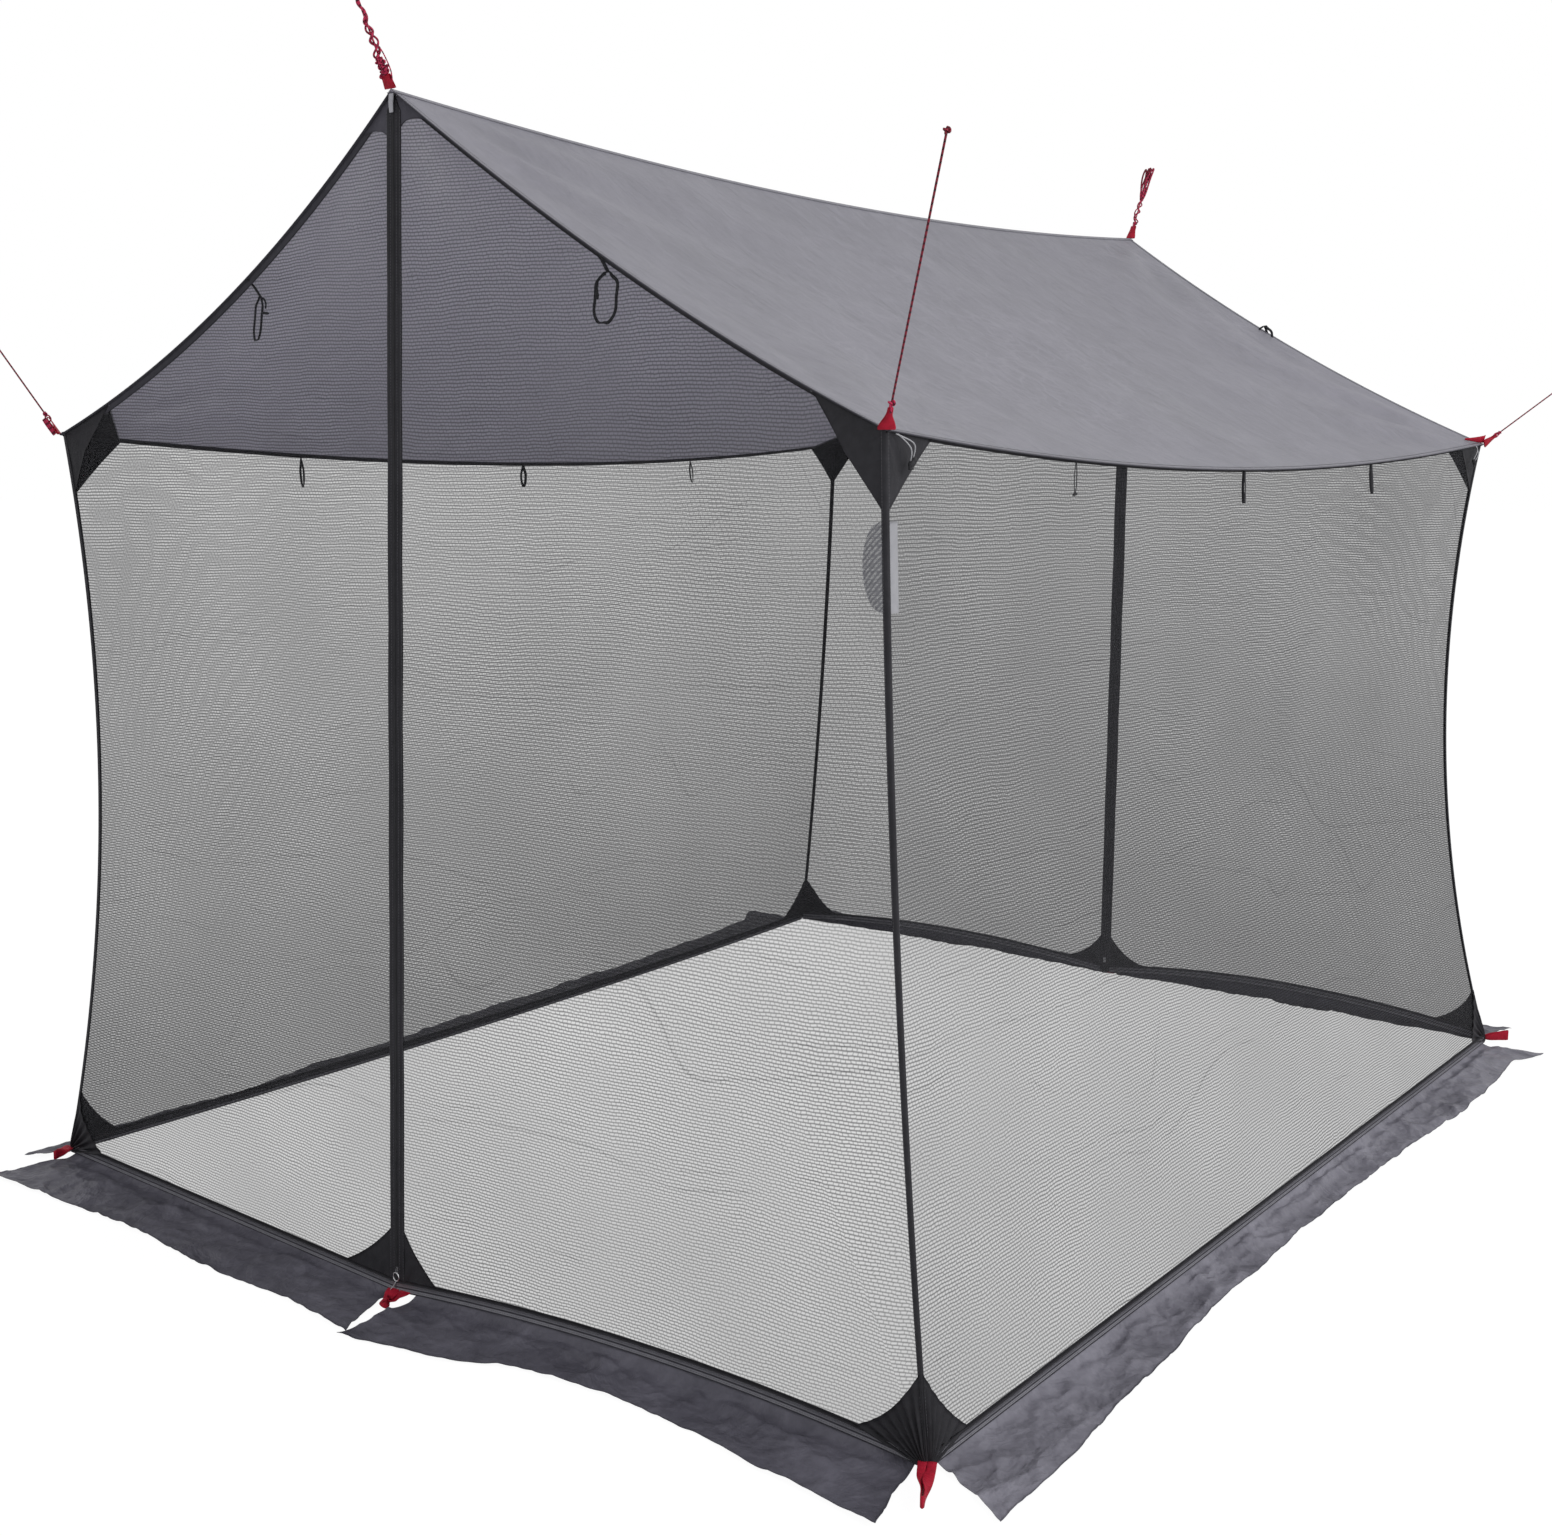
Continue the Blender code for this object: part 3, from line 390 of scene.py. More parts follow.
# %% Camera
PICTURE_WIDTH, PICTURE_HEIGHT = 1552.0, 1536.0
FOCAL, CENTRE = 1936.5, (741.0, 761.2)
camera_data = bpy.data.cameras.new("camera")
camera = bpy.data.objects.new("camera", camera_data)
bpy.context.scene.collection.objects.link(camera)
camera.location = (2.756, -4.0257, 1.658)
camera.rotation_euler = [math.radians(a) for a in (81.056, -0.239, 37.379)]
camera_data.sensor_width = 36.0
camera_data.lens = FOCAL / PICTURE_WIDTH * camera_data.sensor_width
camera_data.shift_x = (PICTURE_WIDTH / 2.0 - CENTRE[0]) / PICTURE_WIDTH
camera_data.shift_y = (CENTRE[1] - PICTURE_HEIGHT / 2.0) / PICTURE_WIDTH
bpy.context.scene.camera = camera
bpy.context.view_layer.update()


def picture(point):
    """Where a point of the frame falls in the 1552 x 1536 picture."""
    local = camera.matrix_world.inverted() @ Vector(point)
    return (round(CENTRE[0] + FOCAL * local.x / -local.z), round(CENTRE[1] - FOCAL * local.y / -local.z))


for end_label, end in ENDS.items():
    print(end_label, "apex", picture(gable_top(1.0, end, 0.0) + SHIFT))
    for side_label, side in SIDES.items():
        print(" ", side_label, "eave", picture(top_corner(side, end) + SHIFT),
              "stake", picture(bottom_corner(side, end) + SHIFT))

# %% [markdown]
# ## Mesh helpers
#
# Cloth is drawn as a grid of points. A net stays a single layer. A woven cloth gets a second layer
# and a closed rim, because an edge seen from near has a thickness. The grid also gives every piece a
# map in metres, so that a weave keeps its real pitch on every panel.

# %% Helpers for cloth and cord
def finish_mesh(name, points, faces, maps, materials, indices=None, smooth=True):
    mesh = bpy.data.meshes.new(name)
    mesh.from_pydata([tuple(Vector(p) + SHIFT) for p in points], [], faces)
    layer = mesh.uv_layers.new(name="metres")
    for loop in mesh.loops:
        layer.data[loop.index].uv = maps[loop.vertex_index]
    for material in materials:
        mesh.materials.append(material)
    if indices:
        mesh.polygons.foreach_set("material_index", indices)
    mesh.polygons.foreach_set("use_smooth", [smooth] * len(mesh.polygons))
    mesh.update()
    piece = bpy.data.objects.new(name, mesh)
    bpy.context.scene.collection.objects.link(piece)
    return piece


def point_outwards(piece):
    form = bmesh.new()
    form.from_mesh(piece.data)
    bmesh.ops.recalc_face_normals(form, faces=form.faces)
    form.to_mesh(piece.data)
    form.free()
    return piece


def grid_normals(rows):
    count, wide = len(rows), len(rows[0])
    normals = []
    for i in range(count):
        line = []
        for j in range(wide):
            down = rows[min(i + 1, count - 1)][j] - rows[max(i - 1, 0)][j]
            across = rows[i][min(j + 1, wide - 1)] - rows[i][max(j - 1, 0)]
            line.append(across.cross(down).normalized())
        normals.append(line)
    return normals


def grid_maps(rows):
    """Run along each row and down the middle column, in metres."""
    maps, down = [], 0.0
    middle = len(rows[0]) // 2
    for i, row in enumerate(rows):
        if i:
            down += (row[middle] - rows[i - 1][middle]).length
        along = 0.0
        for j, point in enumerate(row):
            if j:
                along += (point - row[j - 1]).length
            maps.append((along, down))
    return maps


def cloth(name, rows, outward, materials, thickness=0.0, maps=None, offset=0.0):
    """A panel through a grid of points; with a thickness it is closed, its second layer inside."""
    count, wide = len(rows), len(rows[0])
    normals = grid_normals(rows)
    total = sum((n for line in normals for n in line), Vector())
    flip = total.dot(Vector(outward)) < 0.0
    if flip:
        normals = [[-n for n in line] for line in normals]
    points = [rows[i][j] + normals[i][j] * offset for i in range(count) for j in range(wide)]
    maps = maps or grid_maps(rows)
    faces = []
    for i in range(count - 1):
        for j in range(wide - 1):
            k = i * wide + j
            face = (k, k + wide, k + wide + 1, k + 1)
            faces.append(tuple(reversed(face)) if not flip else face)
    indices = None
    if thickness:
        size = len(points)
        inner = [points[k] - normals[k // wide][k % wide] * thickness for k in range(size)]
        points, maps = points + inner, list(maps) + list(maps)
        front = list(faces)
        faces += [tuple(k + size for k in reversed(face)) for face in front]
        rim = [j for j in range(wide)] + [i * wide + wide - 1 for i in range(1, count)]
        rim += [(count - 1) * wide + j for j in range(wide - 2, -1, -1)]
        rim += [i * wide for i in range(count - 2, 0, -1)]
        for a, b in zip(rim, rim[1:] + rim[:1]):
            face = (a, b, b + size, a + size)
            faces.append(tuple(reversed(face)) if flip else face)
        indices = [0] * len(front) + [len(materials) - 1] * len(front) + [0] * len(rim)
    return finish_mesh(name, points, faces, maps, materials, indices)


def path_length(points):
    return sum((b - a).length for a, b in zip(points, points[1:]))


def cell_area(rows, i, j):
    a, b, c, d = rows[i][j], rows[i][j + 1], rows[i + 1][j + 1], rows[i + 1][j]
    return (b - a).cross(d - a).length / 2.0 + (b - c).cross(d - c).length / 2.0


LEAST_AREA = 0.301  # a cut fills more than three tenths of its width times its length


def declare_cloth(piece, body, nodes, slot, held, rows, rests_on=(), columns=()):
    """Ride on a body, stand for CAD nodes, and say how the cloth was cut. Its length is along columns."""
    if body:
        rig.ride(piece, body)
    if nodes:
        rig.replaces(piece, *nodes)
    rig.slot(piece, slot)
    area = sum(cell_area(rows, i, j) for i in range(len(rows) - 1) for j in range(len(rows[0]) - 1))
    wide = max(path_length(row) for row in rows)
    columns = columns or (0, len(rows[0]) // 2, -1)
    tall = max(path_length([row[j] for row in rows]) for j in columns)
    tall = max(tall, area / wide * 1.002)
    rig.sheet(piece, (wide, tall), held, rests_on, area=max(area, LEAST_AREA * wide * tall))


def crease(point, scale, seed):
    return noise.noise(Vector(point) * scale + Vector((seed * 7.1, seed * 3.7, seed * 5.3)))


def tube(name, path, radius, material, sides=10, taper=None, closed=False):
    """A round cord along points in the frame, mapped in metres along and around."""
    path = [Vector(p) for p in path]
    count = len(path)
    points, maps, faces = [], [], []
    side_way = None
    along = 0.0
    for i, p in enumerate(path):
        before = path[i - 1] if i or closed else path[0]
        after = path[(i + 1) % count] if i < count - 1 or closed else path[-1]
        run = (after - before).normalized()
        if side_way is None:
            side_way = run.orthogonal().normalized()
        side_way = (side_way - run * side_way.dot(run)).normalized()
        other = run.cross(side_way)
        along += (p - path[i - 1]).length if i else 0.0
        thick = radius * (taper(i / max(count - 1, 1)) if taper else 1.0)
        for k in range(sides):
            angle = 2.0 * math.pi * k / sides
            points.append(p + (side_way * math.cos(angle) + other * math.sin(angle)) * thick - SHIFT)
            maps.append((along, k / sides * 2.0 * math.pi * radius))
    rings = count if closed else count - 1
    for i in range(rings):
        a, b = i * sides, ((i + 1) % count) * sides
        for k in range(sides):
            n = (k + 1) % sides
            faces.append((a + k, a + n, b + n, b + k))
    if not closed:
        faces.append(tuple(reversed(range(sides))))
        faces.append(tuple(range((count - 1) * sides, count * sides)))
    return finish_mesh(name, points, faces, maps, [material])


def smooth_path(points, count):
    """A rounded line through a few points (Catmull-Rom)."""
    points = [Vector(p) for p in points]
    line = []
    spans = len(points) - 1
    for i in range(count + 1):
        t = i / count * spans
        k = min(int(t), spans - 1)
        t -= k
        p0, p1 = points[max(k - 1, 0)], points[k]
        p2, p3 = points[k + 1], points[min(k + 2, spans)]
        line.append(0.5 * ((2.0 * p1) + (p2 - p0) * t + (2.0 * p0 - 5.0 * p1 + 4.0 * p2 - p3) * t * t
                           + (3.0 * p1 - p0 - 3.0 * p2 + p3) * t * t * t))
    return line


def merge(name, pieces):
    """Join several meshes into one piece."""
    form = bmesh.new()
    materials = []
    for piece in pieces:
        for material in piece.data.materials:
            if material not in materials:
                materials.append(material)
        mesh = piece.data.copy()
        order = [materials.index(m) for m in piece.data.materials]
        for polygon in mesh.polygons:
            polygon.material_index = order[polygon.material_index]
        form.from_mesh(mesh)
        bpy.data.meshes.remove(mesh)
        bpy.data.objects.remove(piece, do_unlink=True)
    mesh = bpy.data.meshes.new(name)
    form.to_mesh(mesh)
    form.free()
    for material in materials:
        mesh.materials.append(material)
    piece = bpy.data.objects.new(name, mesh)
    bpy.context.scene.collection.objects.link(piece)
    return piece


def settle(piece, body, slot, *nodes):
    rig.ride(piece, body)
    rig.slot(piece, slot)
    if nodes:
        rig.replaces(piece, *nodes)
    return piece


print("helpers ready")

# %% [markdown]
# ## Guy lines
#
# Each line leaves its webbing tab at the angle at which it pulls, and is held taut by something that
# stands outside the picture. It is drawn for the length that shows and ends in an overhand knot, so
# that nothing is cut off. It is braided: a red cover with dark tracer threads that wind round it.

# %% Materials: a small set of node helpers
class Nodes:
    """A tree of shader nodes and short ways to add to it."""

    def __init__(self, tree, keep=False):
        self.tree = tree
        if not keep:
            tree.nodes.clear()

    def add(self, kind, inputs=(), **settings):
        node = self.tree.nodes.new("ShaderNode" + kind)
        for key, value in settings.items():
            setattr(node, key, value)
        for key, value in dict(inputs).items():
            self.put(node.inputs[key], value)
        return node

    def put(self, socket, value):
        if isinstance(value, bpy.types.NodeSocket):
            self.tree.links.new(value, socket)
        else:
            socket.default_value = value

    def math(self, operation, a, b=0.0, clamp=False):
        return self.add("Math", {0: a, 1: b}, operation=operation, use_clamp=clamp).outputs[0]

    def total(self, first, *more, clamp=False):
        for k, term in enumerate(more, 1):
            first = self.math("ADD", first, term, clamp and k == len(more))
        return first

    def range(self, value, low, high, to_low=0.0, to_high=1.0):
        return self.add("MapRange", {0: value, 1: low, 2: high, 3: to_low, 4: to_high}).outputs[0]

    def mix(self, share, a, b):
        node = self.add("Mix", data_type="RGBA")
        self.put(node.inputs["Factor"], share)
        self.put(node.inputs["A"], (*a, 1.0) if isinstance(a, tuple) else a)
        self.put(node.inputs["B"], (*b, 1.0) if isinstance(b, tuple) else b)
        return node.outputs["Result"]

    def noise(self, vector, scale, detail=2.0, roughness=0.5, distortion=0.0):
        return self.add("TexNoise", {"Vector": vector, "Scale": scale, "Detail": detail,
                                     "Roughness": roughness, "Distortion": distortion}).outputs["Fac"]

    def metres(self, scale=1.0):
        uv = self.add("UVMap", uv_map="metres").outputs[0]
        return self.add("Mapping", {"Vector": uv, "Scale": (scale, scale, 1.0)}).outputs[0]

    def place(self):
        return self.add("TexCoord").outputs["Object"]

    def wander(self, place, scale, detail, reach):
        """Push a place about with coloured noise, so that a pattern on it loses its straight lines."""
        colour = self.add("TexNoise", {"Vector": place, "Scale": scale, "Detail": detail}).outputs["Color"]
        push = self.add("VectorMath", {0: colour, 1: (reach, reach, reach)}, operation="MULTIPLY")
        return self.add("VectorMath", {0: place, 1: push.outputs[0]}, operation="ADD").outputs[0]

    def split(self, vector):
        return self.add("SeparateXYZ", {0: vector}).outputs

    def bump(self, height, distance, strength=1.0, under=None):
        node = self.add("Bump", {"Height": height, "Distance": distance, "Strength": strength})
        if under is not None:
            self.put(node.inputs["Normal"], under)
        return node.outputs[0]


class Finish(Nodes):
    """A material: its nodes and its Principled shader."""

    def __init__(self, name, roughness=0.7, metallic=0.0, **numbers):
        self.material = bpy.data.materials.new(name)
        self.material.use_nodes = True
        super().__init__(self.material.node_tree, keep=True)
        self.shader = self.tree.nodes["Principled BSDF"]
        self.shader.inputs["Roughness"].default_value = roughness
        self.shader.inputs["Metallic"].default_value = metallic
        self.shader.inputs["Specular IOR Level"].default_value = 0.5 if metallic else 0.2
        for key, value in numbers.items():
            self.shader.inputs[key.replace("_", " ")].default_value = value

    def finish(self, colour, normal=None, roughness=None, alpha=None):
        links = {"Base Color": colour, "Normal": normal, "Roughness": roughness, "Alpha": alpha}
        for name, value in links.items():
            if value is not None:
                self.put(self.shader.inputs[name], value)
        return self.material


def woven(name, light, dark, pitch, roughness=0.7, crinkle=0.0, crinkle_scale=18.0, patches=0.25):
    """Plain cloth: warp and weft at their real pitch, patches of wear, and soft creases."""
    f = Finish(name, roughness)
    x, y, _ = f.split(f.metres(2.0 * math.pi / pitch))
    weave = f.math("MULTIPLY", f.math("SINE", x), f.math("SINE", y))
    wear = f.noise(f.place(), 3.0, 4.0, 0.6)
    fleck = f.noise(f.place(), 60.0, 2.0)
    share = f.total(f.range(wear, 0.3, 0.7, 0.0, patches * 2.0), f.range(fleck, 0.35, 0.65, -0.12, 0.12),
                    f.range(weave, -1.0, 1.0, 0.15, 0.5), clamp=True)
    normal = f.bump(weave, 0.00012, 0.5)
    if crinkle:
        folds = f.noise(f.place(), crinkle_scale, 5.0, 0.55, 0.6)
        normal = f.bump(folds, crinkle, 0.8, normal)
    return f.finish(f.mix(share, dark, light), normal)


def webbing(name, light, dark, rib=0.0022):
    """Woven strap: ribs across it and a herringbone of threads."""
    f = Finish(name, 0.62)
    x, y, _ = f.split(f.metres())
    ribs = f.math("SINE", f.math("MULTIPLY", x, 2.0 * math.pi / rib))
    slanted = f.math("ADD", y, f.math("MULTIPLY", x, 0.5))
    lines = f.math("SINE", f.math("MULTIPLY", slanted, 2.0 * math.pi / 0.0016))
    height = f.math("ADD", ribs, f.math("MULTIPLY", lines, 0.5))
    dust = f.noise(f.place(), 90.0, 3.0)
    share = f.total(f.range(height, -1.5, 1.5, 0.2, 0.75), f.range(dust, 0.3, 0.7, -0.2, 0.2), clamp=True)
    return f.finish(f.mix(share, dark, light), f.bump(height, 0.0003, 0.7))


def braid(name, light, dark, tracer=None, radius=0.0018):
    """Braided cord: strands cross at an angle, with tracer threads of another colour."""
    f = Finish(name, 0.65)
    x, y, _ = f.split(f.metres())
    turn = f.math("MULTIPLY", y, 1.0 / radius)
    step = f.math("MULTIPLY", x, 2.0 * math.pi / 0.011)
    one = f.math("SINE", f.math("MULTIPLY", f.math("ADD", turn, step), 4.0))
    two = f.math("SINE", f.math("MULTIPLY", f.math("SUBTRACT", turn, step), 4.0))
    height = f.math("MAXIMUM", one, two)
    colour = f.mix(f.range(height, -0.6, 1.0), dark, light)
    if tracer:
        thread = f.math("SINE", f.math("ADD", turn, step))
        other = f.math("SINE", f.math("SUBTRACT", turn, step))
        mask = f.math("MAXIMUM", f.range(thread, 0.80, 0.9), f.range(other, 0.80, 0.9))
        colour = f.mix(mask, colour, tracer)
    return f.finish(colour, f.bump(height, 0.0003, 0.8))


RED_LINE = braid("red braided line", (0.66, 0.045, 0.12), (0.26, 0.010, 0.035), (0.012, 0.008, 0.012))
DARK_LINE = braid("dark red line", (0.33, 0.030, 0.055), (0.075, 0.006, 0.012), (0.010, 0.008, 0.010))
RED_WEBBING = webbing("red webbing", (0.58, 0.010, 0.040), (0.21, 0.004, 0.013))
BLACK_WEBBING = webbing("black webbing", (0.040, 0.039, 0.045), (0.010, 0.010, 0.012))
SILVER_CORD = braid("grey cord", (0.55, 0.55, 0.57), (0.22, 0.22, 0.24), radius=0.001)
print("webbing and cord finishes made")

# %% Guy lines
SEAT, TAB_LENGTH, CLEAR, LINE_RADIUS = 0.0003, 0.046, 0.0004, 0.0018
GUY_LINES = {"front_right": (47.0, 0.535), "front_left": (57.0, 0.270), "back_right": (36.0, 0.270),
             "back_left": (45.0, 0.270), "front_apex": (63.0, 0.210), "back_apex": (62.0, 0.250)}
BUNCH = (  # place along the line, place beside it and size of the knots bunched at the front apex
    (-0.018, 0.004, 0.0075), (-0.010, -0.006, 0.0070), (-0.002, 0.003, 0.0075), (0.006, -0.003, 0.0060))


def held_point(label):
    end = ENDS[label.split("_")[0]]
    u = 0.0 if end < 0.0 else 1.0
    if label.endswith("apex"):
        return roof_point(1.0, u, 0.0), Vector((0.0, end, 0.0))
    side = SIDES[label.split("_")[1]]
    return roof_point(side, u, 1.0), Vector((side, end, 0.0)).normalized()


def pull_of(label):
    """Where the tab starts, the way the line pulls, and the way across the tab."""
    corner, heading = held_point(label)
    angle = math.radians(GUY_LINES[label][0])
    direction = heading * math.cos(angle) + UP * math.sin(angle)
    return corner + direction * SEAT + SHIFT, direction, heading.cross(UP)


def overhand(centre, direction, across, size):
    """The run of an overhand knot drawn tight, as a small three-lobed loop."""
    normal = direction.cross(across).normalized()
    points = []
    for t in spread(48, 0.0, 2.0 * math.pi):
        flat = across * (math.sin(t) + 2.0 * math.sin(2.0 * t))
        flat += direction * (math.cos(t) - 2.0 * math.cos(2.0 * t))
        points.append(centre + (flat * 0.36 - normal * math.sin(3.0 * t) * 0.62) * size)
    return points


def hitch(tip, direction, across, size):
    """The line's own loop through the tab, closed with a knot above it."""
    eye = [tip + direction * (0.0075 * math.cos(a) - 0.0005) * size
           + across.cross(direction) * 0.0050 * math.sin(a) * size for a in round_angles(24)]
    return [tube("eye", eye, 0.0017, RED_LINE, 8, closed=True),
            tube("knot", overhand(tip + direction * 0.010 * size, direction, across, 0.0045 * size),
                 LINE_RADIUS,
                 RED_LINE, 8)]


def second_strand(start, direction, across, first, last, turns, gap):
    """The free part of the line, laid back along it and twisted round it."""
    normal = direction.cross(across).normalized()
    points = []
    for s in spread(int(turns * 18) + 12):
        angle = 2.0 * math.pi * turns * s
        wide = gap * (1.0 + 0.35 * math.sin(5.0 * s + 1.0))
        aside = across * math.cos(angle) + normal * math.sin(angle)
        points.append(start + direction * lerp(first, last, s) + aside * wide)
    return points


for label, (_, length) in GUY_LINES.items():
    root, direction, across = pull_of(label)
    start = root + direction * (TAB_LENGTH + CLEAR)
    run = length - TAB_LENGTH
    path = [start + direction * run * t for t in spread(24)]
    apex = label.endswith("apex")
    finish = RED_LINE if apex else DARK_LINE
    face = direction.cross(across)
    at = lambda along, aside=0.0, out=0.0: start + direction * along + across * aside + face * out
    line = tube("guy_line_" + label + "_cord", path, LINE_RADIUS, finish, 12)
    extras = hitch(at(-0.004), direction, across, 1.0)
    extras.append(tube("end", overhand(at(run - 0.006), direction, across, 0.0042), 0.0017, finish, 8))
    if apex:
        strands = ((0.004, run - 0.010, 4.5, 0.0044, 0.0026), (0.010, run * 0.80, 2.6, 0.0062, 0.0020))
        for first, last, turns, gap, radius in strands:
            strand = second_strand(start, direction, across, first, last, turns, gap)
            extras.append(tube("strand", strand, radius, RED_LINE, 8))
    if label == "front_apex":
        for k, (along, aside, size) in enumerate(BUNCH):
            way = (direction + across * (k - 1.5) * 0.5).normalized()
            bunch = overhand(at(along, aside, 0.002 * (k % 2)), way, across, size)
            extras.append(tube("bunch", bunch, 0.0024, RED_LINE, 8))
        tail = [at(0.018), at(0.026, -0.010), at(0.010, -0.015), at(-0.014, -0.017), at(-0.034, -0.011)]
        extras.append(tube("tail", smooth_path(tail, 30), 0.0012, RED_LINE, 8))
    if label == "back_apex":
        for k in range(4):
            bundle = []
            for a in round_angles(40):
                s = (1.0 - math.cos(a)) / 2.0
                aside = (0.0050 * math.sin(a) + 0.0075 * (k - 1.5) * s) * 1.15
                bundle.append(at(lerp(run - 0.112, run - 0.003, s), aside,
                                 0.004 * math.cos(2.0 * k + 5.0 * s)))
            extras.append(tube("bundle", bundle, 0.0026, RED_LINE if k % 2 else DARK_LINE, 8, closed=True))
    if label == "front_left":
        for k in range(3):
            aside, out = 0.0025 * (k - 1), 0.008 + 0.0035 * (k - 1)
            bundle = [at(lerp(-0.040, -0.002, (1.0 - math.cos(a)) / 2.0), 0.0050 * math.sin(a) + aside, out)
                      for a in round_angles(28)]
            extras.append(tube("bundle", bundle, 0.0020, RED_LINE, 8, closed=True))
    knot = merge("guy_line_" + label + "_knots", extras)
    settle(line, "tent", "red_cord", "guy_line_" + label)
    settle(knot, "tent", "red_cord")
    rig.cord(line, exit=start, length=run, diameter=2.0 * LINE_RADIUS, far_end="knot",
            stiffness="limp", lay="taut", path=path, with_pieces=(knot,))
    print(label, "leaves at", picture(start), "and ends at", picture(path[-1]))

# %% [markdown]
# ## Cloths
#
# The roof is one coated fabric. Its outer face is a smooth mid grey that shows soft crinkles where it
# was folded. Its underside is painted far paler than the outside, and paler still towards the ridge: painted
# light that stands in for the light coming through the cloth. The skirt is a darker, violet cloth. Tapes and
# gussets are black. The net is knitted in rows, so from a few steps away it reads as short dashes,
# half of them holes: its look is mostly how much light it lets through.

# %% Cloth finishes
def roof_finish(name, light, dark, seed, glow=None):
    """Coated cloth: broad clouds of tone, soft crinkles and a few patches with sharp fold marks, lighter where they
    rise: partly the cloth's own tone, partly painted highlights.
    """
    f = Finish(name, 0.52)
    place = f.place()
    broad = f.noise(place, 0.9, 3.0, 0.55, 0.4)
    creased = f.noise(place, 6.0 + seed, 5.0, 0.6, 1.2)
    fine = f.noise(place, 42.0, 3.0, 0.6)
    stretched = f.add("Mapping", {"Vector": place, "Scale": (1.0, 3.2, 1.0), "Rotation": (0.0, 0.0, 0.5)})
    streak = f.noise(stretched.outputs[0], 9.0, 4.0, 0.6, 0.8)
    patch = f.range(f.noise(place, 1.3 + 0.1 * seed, 2.0), 0.46, 0.62)
    bent = f.wander(place, 6.0, 2.0, 0.10)
    lines = None
    for scale, width in ((7.0, 0.05), (17.0, 0.07)):
        cells = f.add("TexVoronoi", {"Vector": bent, "Scale": scale}, feature="DISTANCE_TO_EDGE")
        line = f.range(cells.outputs["Distance"], 0.0, width, 1.0, 0.0)
        lines = line if lines is None else f.math("MAXIMUM", lines, line)
    lines = f.math("MULTIPLY", lines, patch)
    # The tone follows the crinkles, streaks and fold marks of the bumps and is lighter where they rise: partly the
    # cloth's own tone, partly painted highlights.
    share = f.total(f.range(broad, 0.3, 0.7, 0.15, 0.65), f.range(creased, 0.35, 0.65, -0.14, 0.14),
                    f.range(streak, 0.35, 0.65, -0.10, 0.10), f.range(fine, 0.3, 0.7, -0.10, 0.10),
                    f.math("MULTIPLY", lines, 0.30), clamp=True)
    # With glow given, a painted glow: the cloth turns lighter from the lower height to the upper one, towards the
    # ridge, standing in for the light that comes through it.
    if glow:
        high = f.range(f.split(place)[2], glow[0], glow[1])
        share = f.math("ADD", f.math("MULTIPLY", share, 0.25), f.math("MULTIPLY", high, 0.75), clamp=True)
    x, y, _ = f.split(f.metres(2.0 * math.pi / 0.0012))
    weave = f.math("MULTIPLY", f.math("SINE", x), f.math("SINE", y))
    normal = f.bump(f.math("ADD", creased, f.math("MULTIPLY", streak, 0.5)), 0.010, 0.55)
    normal = f.bump(lines, 0.0009, 0.5, normal)
    normal = f.bump(f.math("ADD", fine, f.math("MULTIPLY", weave, 0.2)), 0.0007, 0.5, normal)
    return f.finish(f.mix(share, dark, light), normal, f.range(broad, 0.3, 0.7, 0.46, 0.60))


NET_THREADS = ((0.028, 0.028, 0.031), (0.044, 0.044, 0.047))  # deep in a row, and beside a hole


